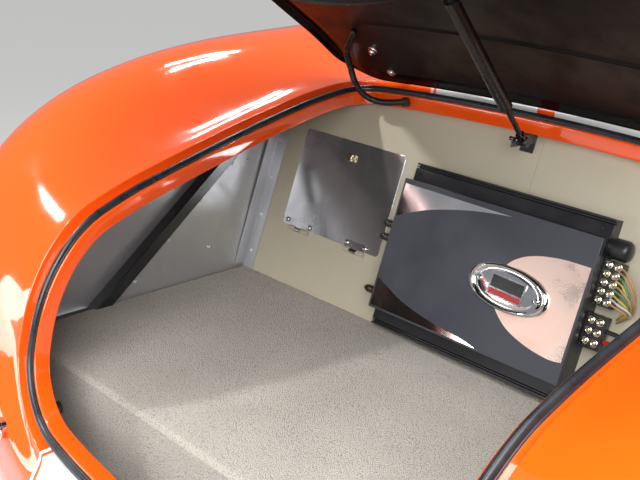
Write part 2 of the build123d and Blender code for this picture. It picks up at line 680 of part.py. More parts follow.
def strut_pieces():
    """Gas strut from its pivot on the lid to the socket at the body's stud."""
    top, foot = Vector(*STRUT_TOP), Vector(*STRUT_FOOT)
    along = (foot - top).normalized()
    reach = (foot - top).length
    cylinder = rod_between(tuple(top + along * STRUT_FROM), tuple(top + along * STRUT_BODY), STRUT_R)
    eye = rod_between(tuple(top - Vector(STRUT_EYE / 2, 0, 0)),
                      tuple(top + Vector(STRUT_EYE / 2, 0, 0)), STRUT_EYE_R)
    neck = rod_between(tuple(top), tuple(top + along * (STRUT_FROM + 1)), STRUT_EYE_R - 3)
    pivot = rod_between(tuple(top - Vector(20, 0, 0)), tuple(top + Vector(20, 0, 0)),
                        PIVOT_R + RUN_FIT)
    bore = rod_between(tuple(top + along * (STRUT_BODY - STRUT_BORE_DEPTH)),
                       tuple(top + along * (STRUT_BODY + 1)), ROD_R + RUN_FIT)
    cylinder = cylinder.fuse(neck).fuse(eye) - pivot - bore
    rod = rod_between(tuple(top + along * (STRUT_BODY - ROD_INSIDE)), tuple(foot), ROD_R)
    socket = rod_between(tuple(foot - Vector(SOCKET_R, 0, 0)), tuple(foot + Vector(SOCKET_R, 0, 0)),
                         SOCKET_R)
    sleeve = rod_between(tuple(foot - along * 22), tuple(foot), SOCKET_R - 1.5)
    return cylinder, rod.fuse(socket).fuse(sleeve), reach


def strut_foot_bracket():
    """Arm on the bulkhead that reaches back under the lip to the strut's stud."""
    x, y, z = STRUT_FOOT
    inner = x - SOCKET_R - SOFT_GAP
    base = on_bulkhead((inner - FOOT_PAD_WIDTH, FOOT_PAD_LOW, SOFT_GAP), (inner - 6, FOOT_PAD_HIGH, 3))
    bulk_y = BULKHEAD_Y + (z - FLOOR_Z) * math.tan(LEAN)
    arm = box_between((inner - 9, y - 10, z - 14), (inner - 6, bulk_y - 3.5, z + 3))
    stud = rod_between((inner, y, z), (inner - 18, y, z), PIVOT_R)
    return base.fuse(arm).fuse(stud)


def lid_clevis():
    """Plate, two ears and pin under the liner that carry the strut, lid closed."""
    top = Vertex(*STRUT_TOP).rotate(LID_AXIS, LID_OPEN).center()
    inner = STRUT_EYE / 2 + 0.5
    outer = inner + CLEVIS_SHEET
    under = LID_SKIN + LINER_BOND + LINER_SHEET + SOFT_GAP
    sections = []
    for s in (CLEVIS_AT - CLEVIS_HALF, CLEVIS_AT + CLEVIS_HALF):
        points = [skin_point(x, s, depth) for x, depth in
                  ((-outer - 8, under), (outer + 8, under), (outer + 8, under + CLEVIS_SHEET),
                   (-outer - 8, under + CLEVIS_SHEET))]
        sections.append(Wire.make_polygon(points, close=True))
    clevis = Solid.make_loft(sections, ruled=True)
    for x_from, x_to in ((inner, outer), (-outer, -inner)):
        roof = skin_point(0, CLEVIS_AT, under + 1)
        ear = bar_between((0, top.Y, top.Z), (0, roof.Y, roof.Z), x_to - x_from, 18)
        boss = rod_between((x_from, top.Y, top.Z), (x_to, top.Y, top.Z), 9)
        clevis = clevis.fuse(Pos((x_from + x_to) / 2, 0, 0) * ear).fuse(boss)
    pin = rod_between((-outer, top.Y, top.Z), (outer, top.Y, top.Z), PIVOT_R)
    return clevis.fuse(pin)


def amplifier_fittings():
    """Signal plugs at the left end, fuse cap and terminal blocks at the right."""
    def stub(x_from, x_to, up, radius, out=FITTING_OUT):
        ends = [BULKHEAD.from_local_coords(Vector(x, up, out)) for x in (x_from, x_to)]
        return rod_between(tuple(ends[0]), tuple(ends[1]), radius)

    start = AMP_LEFT - SOFT_GAP
    plugs = [stub(start - PLUG_LENGTH, start, up, PLUG_R, PLUG_OUT) for up in PLUG_UP]
    right = AMP_RIGHT + SOFT_GAP
    cap = stub(right, right + CAP_LENGTH, CAP_UP, CAP_R)
    blocks = [on_bulkhead((right, low, FITTING_OUT - 11), (right + BLOCK_LENGTH, high, FITTING_OUT + 8))
              for low, high in BLOCK_SPANS]
    return plugs, cap, blocks


def cord_tube(points, radius, share=0.45):
    """Tube through a list of points with the largest arcs that fit."""
    points = [Vector(*p) for p in points]
    radii = []
    for before, at, after in zip(points, points[1:], points[2:]):
        turn = math.radians((at - before).get_angle(after - at))
        radii.append(share * min((at - before).length, (after - at).length) / math.tan(turn / 2))
    path = FilletPolyline(*points, radius=radii)
    start = Plane(origin=points[0], z_dir=points[1] - points[0])
    return sweep(start * Circle(radius), path=path)


def cable(up):
    """Cable from the speaker block to its gland, and the gland on the bulkhead."""
    start = AMP_RIGHT + 2 * SOFT_GAP + BLOCK_LENGTH
    points = [BULKHEAD.from_local_coords(Vector(start + x, up + dy, w)) for x, dy, w in CABLE_ROUTE]
    end_x, end_up = start + CABLE_ROUTE[-1][0], up + CABLE_ROUTE[-1][1]
    gland = rod_between(tuple(BULKHEAD.from_local_coords(Vector(end_x, end_up, SOFT_GAP))),
                        tuple(BULKHEAD.from_local_coords(Vector(end_x, end_up, GLAND_LENGTH))), GLAND_R)
    return cord_tube(points, CABLE_R), gland


PARTS = {}
gutter_section = [
    (-GUTTER_FLANGE, SKIN + GUTTER_BOND), (0, SKIN + GUTTER_BOND), (0, GUTTER_DEPTH), (GUTTER_WIDTH, GUTTER_DEPTH),
    (GUTTER_WIDTH, LIP_DEPTH), (GUTTER_WIDTH - GUTTER_SHEET, LIP_DEPTH),
    (GUTTER_WIDTH - GUTTER_SHEET, GUTTER_DEPTH + GUTTER_SHEET),
    (-GUTTER_SHEET, GUTTER_DEPTH + GUTTER_SHEET), (-GUTTER_SHEET, SKIN + GUTTER_BOND + GUTTER_SHEET),
    (-GUTTER_FLANGE, SKIN + GUTTER_BOND + GUTTER_SHEET),
]
seal_base = GUTTER_DEPTH - 0.2
seal_top = GUTTER_DEPTH - SEAL_HEIGHT
seal_section = [
    (SEAL_FROM, seal_base), (SEAL_FROM, seal_top + 3.5), (SEAL_FROM + 4, seal_top),
    (SEAL_FROM + SEAL_WIDTH - 4, seal_top), (SEAL_FROM + SEAL_WIDTH, seal_top + 3.5),
    (SEAL_FROM + SEAL_WIDTH, seal_base),
]
PARTS["tail_shell"] = tail_shell()
PARTS["boot_gutter"] = ring(gutter_section)
PARTS["boot_seal"] = ring(seal_section)
stop_bezel, stop_lens, stop_hole = tail_lamp(STOP_LAMP)
turn_bezel, turn_lens, turn_hole = tail_lamp(TURN_LAMP)
PARTS["lamp_bezels"] = Compound([stop_bezel, turn_bezel, mirrored(stop_bezel), mirrored(turn_bezel)])
PARTS["stop_lenses"] = Compound([stop_lens, mirrored(stop_lens)])
PARTS["turn_lenses"] = Compound([turn_lens, mirrored(turn_lens)])

# Chassis members, floor and carpets
PARTS["cross_member"] = cross_member()
rail_top = MEMBER_SIZE / 2
rear_rail_y = FLOOR_REAR_Y + RAIL_SIZE
PARTS["floor_rails"] = Compound([
    box_between((x - RAIL_SIZE / 2, rear_rail_y, rail_top - RAIL_SIZE),
                (x + RAIL_SIZE / 2, -MEMBER_SIZE, rail_top)) for x in (-RAIL_X, RAIL_X)])
PARTS["rear_rail"] = box_between((-FLOOR_HALF_REAR + 4, FLOOR_REAR_Y, rail_top - RAIL_SIZE),
                                 (FLOOR_HALF_REAR - 4, rear_rail_y, rail_top))
PARTS["floor_panel"] = floor_tray(rail_top, SHEET_Z, 0, 0.0)
carpet_front = BULKHEAD_Y - CARPET * math.tan(LEAN) - SOFT_GAP
PARTS["floor_carpet"] = (floor_tray(SHEET_Z, FLOOR_Z, carpet_front, 1.0)
                         - carpet_notch() - mirrored(carpet_notch()))
riser_half = FLOOR_HALF_REAR - 2
PARTS["riser_carpet"] = box_between((-riser_half, FLOOR_REAR_Y - CARPET - SOFT_GAP, FLOOR_Z - WELL_DROP),
                                    (riser_half, FLOOR_REAR_Y - SOFT_GAP, FLOOR_Z))
PARTS["well_floor"] = box_between((-WELL_HALF, WELL_REAR_Y, FLOOR_Z - WELL_DROP - FLOOR_SHEET),
                                  (WELL_HALF, FLOOR_REAR_Y - SOFT_GAP, FLOOR_Z - WELL_DROP))

# Bulkhead, side walls and their angle strips and braces
whole, pierced = bulkhead_half()
PARTS["bulkhead_left"] = pierced
PARTS["bulkhead_right"] = mirrored(whole)
back = BULKHEAD_Y - 0.5
lean_y = math.tan(LEAN)
brace_foot_y = BRACE_TOP_Y - (BRACE_TOP_Z - FLOOR_Z) / math.tan(math.radians(BRACE_SLOPE))
front_outline = [(back - 1.4, SHEET_Z + SOFT_GAP), (back + (SIDE_TOP_Z - FLOOR_Z) * lean_y, SIDE_TOP_Z),
                 (BRACE_TOP_Y + PANEL_STEP, SIDE_TOP_Z), (BRACE_TOP_Y + PANEL_STEP, BRACE_TOP_Z),
                 (brace_foot_y + PANEL_STEP, SHEET_Z + SOFT_GAP)]
rear_outline = ([(REAR_SIDE_TOP[0][0], SHEET_Z + SOFT_GAP)] + REAR_SIDE_TOP
                + [(REAR_SIDE_TOP[-1][0], SHEET_Z + SOFT_GAP)])
left_pieces = {
    "corner_angle": corner_angle(),
    "side_panel": side_sheet(front_outline, SOFT_GAP, SIDE_SHEET),
    "rear_side_panel": side_sheet(rear_outline, BRACE_SIZE - BRACE_PROUD + BRACE_CLEAR, SIDE_SHEET),
    "brace": brace(),
    "bumper_rod": bumper_rod(),
}
for name, piece in left_pieces.items():
    PARTS[name + "_left"] = piece
    PARTS[name + "_right"] = mirrored(piece)

# Access panel on two hinges at its lower edge
door_plane = BULKHEAD * Pos((DOOR_LEFT + DOOR_RIGHT) / 2, (DOOR_LOW + DOOR_HIGH) / 2, SOFT_GAP)
PARTS["access_panel"] = door_plane * extrude(
    RectangleRounded(DOOR_RIGHT - DOOR_LEFT, DOOR_HIGH - DOOR_LOW, DOOR_CORNER_R), DOOR_SHEET)
hinge_a = door_hinge(DOOR_LEFT + DOOR_HINGE_IN[0])
hinge_b = door_hinge(DOOR_RIGHT - DOOR_HINGE_IN[1])
PARTS["panel_hinge_pins"] = Compound([hinge_a[0], hinge_b[0]])
PARTS["panel_leaves"] = Compound([hinge_a[1], hinge_b[1]])
PARTS["bulkhead_leaves"] = Compound([hinge_a[2], hinge_b[2]])
PARTS["panel_lock"] = BULKHEAD * Pos(LOCK_X, LOCK_UP, 2 * SOFT_GAP + DOOR_SHEET) * extrude(
    Circle(LOCK_R), 12)

PARTS["amplifier_body"], PARTS["amplifier_cover"] = amplifier()
plugs, PARTS["fuse_cap"], blocks = amplifier_fittings()
PARTS["signal_plugs"] = Compound(plugs)
PARTS["speaker_block"], PARTS["power_block"] = blocks
PARTS["cable_black"], black_gland = cable(CABLE_FIRST_UP)
PARTS["cable_red"], red_gland = cable(CABLE_FIRST_UP - CABLE_PITCH)
PARTS["cable_glands"] = Compound([black_gland, red_gland])

# Gas strut, drawn with the lid open as it rests
PARTS["strut_cylinder"], PARTS["strut_rod"], strut_reach = strut_pieces()
PARTS["strut_foot_bracket"] = strut_foot_bracket()

# Lid pieces are drawn closed, then turned to the open rest position
lid_pieces = {
    "lid_skin": lid_patch(LID_GAP, 0, LID_SKIN),
    "lid_clevis": lid_clevis(),
    "lid_liner": lid_patch(LINER_INSET, LID_SKIN + LINER_BOND, LID_SKIN + LINER_BOND + LINER_SHEET),
    "lid_handle": lid_handle(),
}
left_hinge, right_hinge = hinge_leaves(-HINGE_X), hinge_leaves(HINGE_X)
PARTS["deck_hinge_leaves"] = Compound([left_hinge[0], right_hinge[0]])
lid_pieces["lid_hinge_leaves"] = Compound([left_hinge[1], right_hinge[1]])
PARTS["lid_hinge_pins"] = Compound([left_hinge[2], right_hinge[2]])
for name, piece in lid_pieces.items():
    PARTS[name] = piece.rotate(LID_AXIS, -LID_OPEN)
PARTS["lid_loom"] = cord_tube(LOOM_ROUTE, LOOM_R)
loom_end = Vector(*LOOM_ROUTE[-1])
loom_way = (loom_end - Vector(*LOOM_ROUTE[-2])).normalized()
PARTS["loom_ferrule"] = rod_between(tuple(loom_end), tuple(loom_end + loom_way * FERRULE_LENGTH),
                                    FERRULE_R)

os.makedirs("parts", exist_ok=True)
for name, piece in PARTS.items():
    export_step(piece, "parts/" + name + ".step")
print("hinge axis", LID_AXIS.position, "strut reach", round(strut_reach, 2))
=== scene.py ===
import json
import math
import random

import bmesh
import bpy
from mathutils import Matrix, Vector, noise

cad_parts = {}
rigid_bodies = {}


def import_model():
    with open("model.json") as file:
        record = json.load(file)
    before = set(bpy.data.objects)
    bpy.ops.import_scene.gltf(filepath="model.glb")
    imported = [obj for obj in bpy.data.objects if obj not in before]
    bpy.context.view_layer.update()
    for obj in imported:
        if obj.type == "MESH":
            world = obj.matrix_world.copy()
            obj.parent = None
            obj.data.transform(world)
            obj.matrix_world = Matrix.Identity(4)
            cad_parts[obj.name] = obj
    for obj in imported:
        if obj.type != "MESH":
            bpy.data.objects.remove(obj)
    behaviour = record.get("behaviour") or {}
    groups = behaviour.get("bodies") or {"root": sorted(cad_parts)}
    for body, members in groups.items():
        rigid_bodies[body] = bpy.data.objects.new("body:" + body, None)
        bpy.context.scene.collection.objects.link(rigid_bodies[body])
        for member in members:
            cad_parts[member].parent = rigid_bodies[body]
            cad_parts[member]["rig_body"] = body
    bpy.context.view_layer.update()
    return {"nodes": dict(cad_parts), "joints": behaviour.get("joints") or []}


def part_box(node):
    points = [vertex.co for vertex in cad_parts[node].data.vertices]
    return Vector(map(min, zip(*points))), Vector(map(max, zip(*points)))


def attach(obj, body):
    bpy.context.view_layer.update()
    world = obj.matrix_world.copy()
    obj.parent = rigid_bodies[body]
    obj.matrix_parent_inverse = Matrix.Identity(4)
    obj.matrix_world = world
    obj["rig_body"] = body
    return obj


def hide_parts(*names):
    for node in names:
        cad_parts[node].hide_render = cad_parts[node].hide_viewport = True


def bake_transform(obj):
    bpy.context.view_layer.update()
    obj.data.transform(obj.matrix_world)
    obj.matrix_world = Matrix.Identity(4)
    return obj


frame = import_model()

# Chassis members under the boot: a box tube across the car, two rails and the rear
# rail, of welded steel tube in a satin black powder coat with a fine orange peel
# and a little dust. Their edges are rolled, so each is eased along its corners.
MM = 0.001
SAME_POINT = 0.002 * MM
FLAT_UNDER, EASED_OVER, SMOOTH_UNDER = (math.radians(angle) for angle in (0.6, 32, 38))
WHITE, BLACK = (1, 1, 1, 1), (0, 0, 0, 1)
SOCKETS = {"Base Color": "NodeSocketColor", "Roughness": "NodeSocketFloat", "Normal": "NodeSocketVector"}
CLEAR_COAT_ROUGH = 0.03
COAT_BLACK = (0.02, 0.02, 0.022)
ROAD_DUST = (0.16, 0.145, 0.125)


def effect_group(name, outputs=tuple(SOCKETS), **inputs):
    """An empty effect with its named sockets, what is given to it and its output node."""
    group = bpy.data.node_groups.new(name, "ShaderNodeTree")
    for label, value in inputs.items():
        kind = "NodeSocketFloat"
        if isinstance(value, tuple):
            kind = "NodeSocketColor" if len(value) == 4 else "NodeSocketVector"
        socket = group.interface.new_socket(name=label.replace("_", " "), in_out="INPUT", socket_type=kind)
        socket.default_value = value
    for label in outputs:
        group.interface.new_socket(name=label, in_out="OUTPUT", socket_type=SOCKETS[label])
    return group, group.nodes.new("NodeGroupInput").outputs, group.nodes.new("NodeGroupOutput")


def put(tree, socket, value):
    """Link a socket to another one, or give it a plain value."""
    if isinstance(value, bpy.types.NodeSocket):
        tree.links.new(value, socket)
    else:
        socket.default_value = value


def feed(tree, node, **values):
    """Give a node its settings, and its inputs their values or links."""
    for label, value in values.items():
        if hasattr(node, label):
            setattr(node, label, value)
        else:
            put(tree, node.inputs[label.replace("_", " ")], value)
    return node


def add_node(tree, kind, *values, **named):
    """A new node with values or links for its first inputs, and named ones for others."""
    node = feed(tree, tree.nodes.new(kind), **named)
    for socket, value in zip(node.inputs, values):
        put(tree, socket, value)
    return node


def math_node(tree, operation, *values, kind="ShaderNodeMath"):
    """The result of a calculation on sockets or plain numbers."""
    return add_node(tree, kind, *values, operation=operation).outputs[0]


def mix_colours(tree, share, first, second):
    """A colour between two colours, by a share."""
    node = add_node(tree, "ShaderNodeMix", data_type="RGBA")
    for index, value in ((0, share), (6, first), (7, second)):
        put(tree, node.inputs[index], value)
    return node.outputs[2]


def noise_at(tree, place, scale, **values):
    """The strength of a noise at a place."""
    return add_node(tree, "ShaderNodeTexNoise", Vector=place, Scale=scale, **values).outputs[0]


def ranged(tree, value, low, high, top=1.0):
    """How far a value is on its way from low to high, times the top."""
    return add_node(tree, "ShaderNodeMapRange", value, low, high, To_Max=top).outputs[0]


def bumped(tree, height, strength, distance):
    """The surface's direction where a height roughens it."""
    return add_node(tree, "ShaderNodeBump", Height=height, Strength=strength, Distance=distance).outputs[0]


def weathered_effect():
    """Stains in broad patches, and a fine grain in the surface."""
    group, given, result = effect_group("weathered", Colour=WHITE, Stain=BLACK, Stain_Amount=0.3,
                                        Gloss_Loss=0.3, Stain_Scale=9.0, Grain_Scale=900.0, Grain=0.1)
    place = add_node(group, "ShaderNodeTexCoord").outputs["Object"]
    patches = noise_at(group, place, given["Stain Scale"], Detail=7.0, Roughness=0.62)
    spread = ranged(group, patches, 0.42, 0.72)
    share = math_node(group, "MULTIPLY", spread, given["Stain Amount"])
    duller = math_node(group, "MULTIPLY", spread, 0.22)
    grain = noise_at(group, place, given["Grain Scale"], Detail=3.0)
    feed(group, result, Base_Color=mix_colours(group, share, given["Colour"], given["Stain"]),
         Roughness=math_node(group, "ADD", duller, given["Gloss Loss"]),
         Normal=bumped(group, grain, given["Grain"], 0.0006))
    return group


def tuned(material, **values):
    """The material with values on its shader's own sockets."""
    feed(material.node_tree, material.node_tree.nodes["Principled BSDF"], **values)
    return material


def finish(name, colour, roughness, metallic=0.0, coat=0.0, effect=None, **values):
    """A material with its shader's own values, fed by an effect where it has one."""
    material = bpy.data.materials.new(name)
    material.use_nodes = True
    tuned(material, Base_Color=(*colour, 1), Roughness=roughness, Metallic=metallic, Coat_Weight=coat,
          Coat_Roughness=CLEAR_COAT_ROUGH)
    tree = material.node_tree
    if effect:
        node = add_node(tree, "ShaderNodeGroup", node_tree=effect)
        for label, value in {"Colour": colour, **values}.items():
            socket = node.inputs[label.replace("_", " ")]
            socket.default_value = (*value, 1) if socket.type == "RGBA" else value
        for output in node.outputs:
            tree.links.new(output, tree.nodes["Principled BSDF"].inputs[output.name])
    return material


weathered = weathered_effect()


def worn(name, colour, roughness, stain, amount, loss, metallic=0.0, coat=0.0, **grain):
    """A finish with stains of a colour and amount, and a loss of gloss."""
    return finish(name, colour, roughness, metallic, coat, weathered, Stain=stain, Stain_Amount=amount,
                  Gloss_Loss=loss, **grain)


def new_object(name, data):
    """An object in the scene that holds some data."""
    thing = bpy.data.objects.new(name, data)
    bpy.context.scene.collection.objects.link(thing)
    return thing


def add_piece(name, mesh, material, body="body", stands_for=()):
    """Put a mesh on a body, with its finish, and hide the CAD nodes it stands for."""
    piece = new_object(name, mesh)
    if not mesh.materials:
        mesh.materials.append(material)
    mesh.shade_smooth()
    mesh.set_sharp_from_angle(angle=SMOOTH_UNDER)
    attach(piece, body)
    if stands_for:
        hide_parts(*stands_for)
    return piece


def round_edges(piece, radius, segments, over):
    """Round a piece's edges that bend by more than an angle; radius in millimetres."""
    bevel = piece.modifiers.new("edges", "BEVEL")
    bevel.width = radius * MM
    bevel.segments = segments
    bevel.limit_method = "ANGLE"
    bevel.angle_limit = over
    bevel.harden_normals = True


def eased(material, *nodes, edge, segments=2):
    """CAD pieces in their finish, with sharp edges eased by a radius in millimetres."""
    for node in nodes:
        source = frame["nodes"][node]
        mesh = source.data.copy()
        mesh.materials.clear()
        shape = bmesh.new()
        shape.from_mesh(mesh)
        bmesh.ops.remove_doubles(shape, verts=shape.verts, dist=SAME_POINT)
        bmesh.ops.dissolve_limit(shape, angle_limit=FLAT_UNDER, verts=shape.verts, edges=shape.edges)
        shape.to_mesh(mesh)
        shape.free()
        round_edges(add_piece(node + "_finished", mesh, material, source["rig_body"], (node,)), edge,
                    segments, EASED_OVER)


frame_coat = worn("frame_coat", COAT_BLACK, 0.35, stain=ROAD_DUST, amount=0.25, loss=0.3, Grain_Scale=500.0,
                  Grain=0.25)
eased(frame_coat, "cross_member", "floor_rails", "rear_rail", edge=2.0)

# Floor and well sheets: rolled aluminium sheet in its mill finish, with fine
# streaks along the rolling direction, scuffs across it and dull patches.
SHEET_GREY = (0.50, 0.51, 0.52)
SHEET_EDGE = 0.4


def rolled_effect():
    """Streaks along X of a rolled or brushed sheet, with scuffs and dull patches."""
    group, given, result = effect_group("rolled", Colour=WHITE, Dull=(0.4, 0.4, 0.4, 1), Gloss_Loss=0.25,
                                        Streaks=0.2, Scuffs=0.3, Stretch=(4, 900, 900))
    place = add_node(group, "ShaderNodeTexCoord").outputs["Object"]
    drawn = math_node(group, "MULTIPLY", place, given["Stretch"], kind="ShaderNodeVectorMath")
    streaks = noise_at(group, drawn, 1.0, Detail=4.0)
    patches = noise_at(group, place, 7.0, Detail=8.0, Roughness=0.65, Distortion=0.6)
    share = math_node(group, "MULTIPLY", ranged(group, patches, 0.4, 0.75), given["Scuffs"])
    duller = math_node(group, "MULTIPLY", share, 0.5)
    streaky = math_node(group, "MULTIPLY", streaks, given["Streaks"])
    total = math_node(group, "ADD", math_node(group, "ADD", duller, streaky), given["Gloss Loss"])
    feed(group, result, Base_Color=mix_colours(group, share, given["Colour"], given["Dull"]), Roughness=total,
         Normal=bumped(group, streaks, given["Streaks"], 0.00012))
    return group


rolled = rolled_effect()
mill_sheet = finish("mill_sheet", SHEET_GREY, 0.3, metallic=1.0, effect=rolled, Dull=(0.33, 0.33, 0.33),
                    Gloss_Loss=0.27, Streaks=0.12, Scuffs=0.55)
eased(mill_sheet, "floor_panel", "well_floor", edge=SHEET_EDGE)

# Boot carpet: one piece of beige-grey tufted carpet that lies on the floor sheet
# and folds over its rear edge down the riser. The pile is short and nubby. Its colour
# holds painted light: a painted highlight on the nub tops, painted shade in the gaps
# between tufts, and painted sheen in patches where it has been brushed one way or the other.
PILE_BEIGE = (0.503, 0.458, 0.393)
# Painted shade colour for the gaps between tufts, and painted highlight colour for the nub tops and the sheen
# of brushed patches.
PILE_GAP_SHADE = (0.203, 0.181, 0.152)
PILE_SHEEN_HIGHLIGHT = (0.702, 0.655, 0.581)
PILE_ROUGH, PILE_STEP = 1.1, 3.4
NUB_SCALE, FINE_NUB_SCALE, WAVE_SCALE = 0.13, 0.31, 0.011
WALL_PLAY, WALL_FADE, WALL_DIP = 1.5, 6.0, 2.2
FOLD_R = 9.0
WALL_HALF_FRONT, WALL_HALF_REAR = 664.0, 629.0
carpet_low, carpet_high = (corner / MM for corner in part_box("floor_carpet"))
riser_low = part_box("riser_carpet")[0] / MM
FLOOR_Z = carpet_high.z


def wall_x(y):
    """Half width of the boot between its side walls at a distance back."""
    share = (carpet_high.y - y) / (carpet_high.y - carpet_low.y)
    return WALL_HALF_FRONT + (WALL_HALF_REAR - WALL_HALF_FRONT) * share


def grid_mesh(name, rows):
    """Mesh through rows of points in millimetres."""
    across = len(rows[0])
    faces = []
    for i in range(len(rows) - 1):
        for j in range(across - 1):
            here = i * across + j
            faces.append((here, here + 1, here + across + 1, here + across))
    mesh = bpy.data.meshes.new(name)
    mesh.from_pydata([tuple(MM * Vector(point)) for row in rows for point in row], [], faces)
    mesh.update()
    return mesh


def pile_effect():
    """Nubs of a tufted pile, with a painted highlight on the nub tops, painted shade in the gaps between
    tufts and painted sheen in brushed patches.
    """
    group, given, result = effect_group("pile", ("Base Color", "Normal"), Colour=WHITE, Dark=BLACK,
                                        Light=WHITE, Tufts=420.0)
    place = add_node(group, "ShaderNodeTexCoord").outputs["Object"]
    tufts = add_node(group, "ShaderNodeTexVoronoi", Vector=place, Scale=given["Tufts"], Randomness=1.0)
    apart = tufts.outputs["Distance"]
    nubs = noise_at(group, place, given["Tufts"], Detail=5.0, Roughness=0.7)
    brushed = noise_at(group, place, 6.0, Detail=4.0, Distortion=0.8)
    colour = given["Colour"]
    # Painted sheen in brushed patches, then a painted highlight on the nub tops.
    for share in (ranged(group, brushed, 0.42, 0.68, 0.3), ranged(group, nubs, 0.48, 0.72, 0.75)):
        colour = mix_colours(group, share, colour, given["Light"])
    # Painted shade in the gaps between tufts, where the pile is lowest.
    colour = mix_colours(group, ranged(group, apart, 0.35, 0.9, 0.75), colour, given["Dark"])
    height = math_node(group, "SUBTRACT", nubs, apart)
    feed(group, result, Base_Color=colour, Normal=bumped(group, height, 0.85, 0.003))
    return group


def carpet_line():
    """Line (y, z) of the carpet from the bulkhead back, over the fold and down."""
    fold_y, fold_z = riser_low.y + FOLD_R, FLOOR_Z - FOLD_R
    line = [(carpet_high.y, carpet_low.z), (carpet_high.y, FLOOR_Z - 1.5)]
    steps = round((carpet_high.y - fold_y) / PILE_STEP)
    line += [(carpet_high.y + (fold_y - carpet_high.y) * i / steps, FLOOR_Z) for i in range(steps)]
    for a in (math.radians(step) for step in range(0, 90, 15)):
        line.append((fold_y - FOLD_R * math.sin(a), FLOOR_Z - FOLD_R * (1 - math.cos(a))))
    steps = round((fold_z - riser_low.z) / PILE_STEP)
    return line + [(riser_low.y, fold_z - (fold_z - riser_low.z) * i / steps) for i in range(steps + 1)]


def carpet_rows():
    """Rows of the carpet from wall to wall, with the pile's nubs and waves."""
    columns = round(2 * WALL_HALF_FRONT / (1.25 * PILE_STEP))
    rows = []
    for k, (y, z) in enumerate(carpet_line()):
        half = wall_x(max(y, carpet_low.y)) - WALL_PLAY
        row = []
        for j in range(columns + 1):
            place = Vector((half * (2 * j / columns - 1), y, z))
            rough = noise.noise(place * NUB_SCALE) + 0.7 * noise.noise(place * FINE_NUB_SCALE)
            wave = 0.8 * noise.noise(place * WAVE_SCALE)
            at_wall = 1 - min(1.0, (half - abs(place.x)) / WALL_FADE)
            settle = PILE_ROUGH * (0.45 * rough + wave - 0.6) - WALL_DIP * at_wall**2
            if k >= 2 and z > FLOOR_Z - FOLD_R:
                place.z += settle
            elif k > 2:
                place.y -= settle + 2
            row.append(place)
        rows.append(row)
    return rows


pile = pile_effect()
carpet = tuned(finish("carpet", PILE_BEIGE, 0.95, effect=pile, Dark=PILE_GAP_SHADE, Light=PILE_SHEEN_HIGHLIGHT),
               Sheen_Weight=0.25, Sheen_Roughness=0.5, Specular_IOR_Level=0.1)
add_piece("boot_carpet", grid_mesh("boot_carpet", carpet_rows()), carpet,
          stands_for=("floor_carpet", "riser_carpet"))

# Bulkhead: two steel sheets in cream satin paint that meet at a seam on the
# centre line, with the hole for the access panel cut in the left one.
BULKHEAD_CREAM = (0.52, 0.475, 0.36)
BULKHEAD_SMEAR = (0.42, 0.38, 0.275)
LEAN = math.radians(15)
BULKHEAD_Y = -20.0
OUT = Vector((0, -math.cos(LEAN), math.sin(LEAN)))
bulkhead_paint = worn("bulkhead_paint", BULKHEAD_CREAM, 0.4, stain=BULKHEAD_SMEAR, amount=0.35, loss=0.36,
                      Stain_Scale=5.0, Grain_Scale=260.0, Grain=0.12)
eased(bulkhead_paint, "bulkhead_left", "bulkhead_right", edge=0.12)


def on_bulkhead(x, up, out):
    """Point in millimetres from its place across, up and out of the bulkhead's face."""
    return Vector((x, BULKHEAD_Y + up * math.sin(LEAN) - out * math.cos(LEAN),
                   FLOOR_Z + up * math.cos(LEAN) + out * math.sin(LEAN)))


# Corner angles and side walls: bare aluminium sheet, riveted to the frame behind
# it. The walls are two layers, the front one cut off along the diagonal tube.
WALL_GREY = (0.55, 0.56, 0.585)
RIVET = [(4.2, 0.0), (4.1, 0.9), (3.0, 1.9), (1.0, 2.3), (1.0, 1.7), (0.0, 1.7)]
BRACE_TOP_Y, BRACE_TOP_Z = -85.0, 321.0
BRACE_RUN = 1 / math.tan(math.radians(39.5))
RIVETS_ALONG_BRACE, RIVET_OFF_BRACE = (64.0, 139.0, 214.0, 288.0), 46.0
WALL_RIVETS = [(-140.0, 100.0), (-35.0, 290.0), (58.0, 252.0), (20.0, 130.0), (-5.0, 60.0), (70.0, 330.0)]
ANGLE_RIVET_X, ANGLE_RIVET_OUT = 648.0, 2.2
ANGLE_RIVETS_UP = (40.0, 130.0, 220.0, 310.0, 390.0)
WALL_SHEETS = ("corner_angle_", "side_panel_", "rear_side_panel_")
side_sheet = finish("side_sheet", WALL_GREY, 0.35, metallic=0.72, effect=rolled, Dull=(0.50, 0.50, 0.50),
                    Gloss_Loss=0.3, Streaks=0.1, Scuffs=0.6, Stretch=(900, 3, 700))
bright_rivet = worn("bright_rivet", (0.90, 0.90, 0.90), 0.3, stain=(0.6, 0.6, 0.6), amount=0.3, loss=0.22,
                    metallic=0.5)
for side in ("left", "right"):
    eased(side_sheet, *(sheet + side for sheet in WALL_SHEETS), edge=SHEET_EDGE)


def band(shape, low, high):
    """Add the faces between two rings, of which one may be a single point."""
    for i in range(max(len(low), len(high))):
        corners = [low[i % len(low)], low[(i + 1) % len(low)], high[(i + 1) % len(high)], high[i % len(high)]]
        corners = list(dict.fromkeys(corners))
        if len(corners) > 2:
            shape.faces.new(corners)


def turned(shape, outline, centre, axis, steps=20):
    """Add a turned form to a shape: radii and heights in millimetres round an axis."""
    turn = Vector(axis).to_track_quat("Z", "Y").to_matrix()
    rings = []
    for radius, height in outline:
        ring = []
        for i in range(steps if radius > 0.001 else 1):
            a = 2 * math.pi * i / steps
            spot = Vector((radius * math.cos(a), radius * math.sin(a), height))
            ring.append(shape.verts.new(MM * (Vector(centre) + turn @ spot)))
        rings.append(ring)
    for low, high in zip(rings, rings[1:]):
        band(shape, low, high)


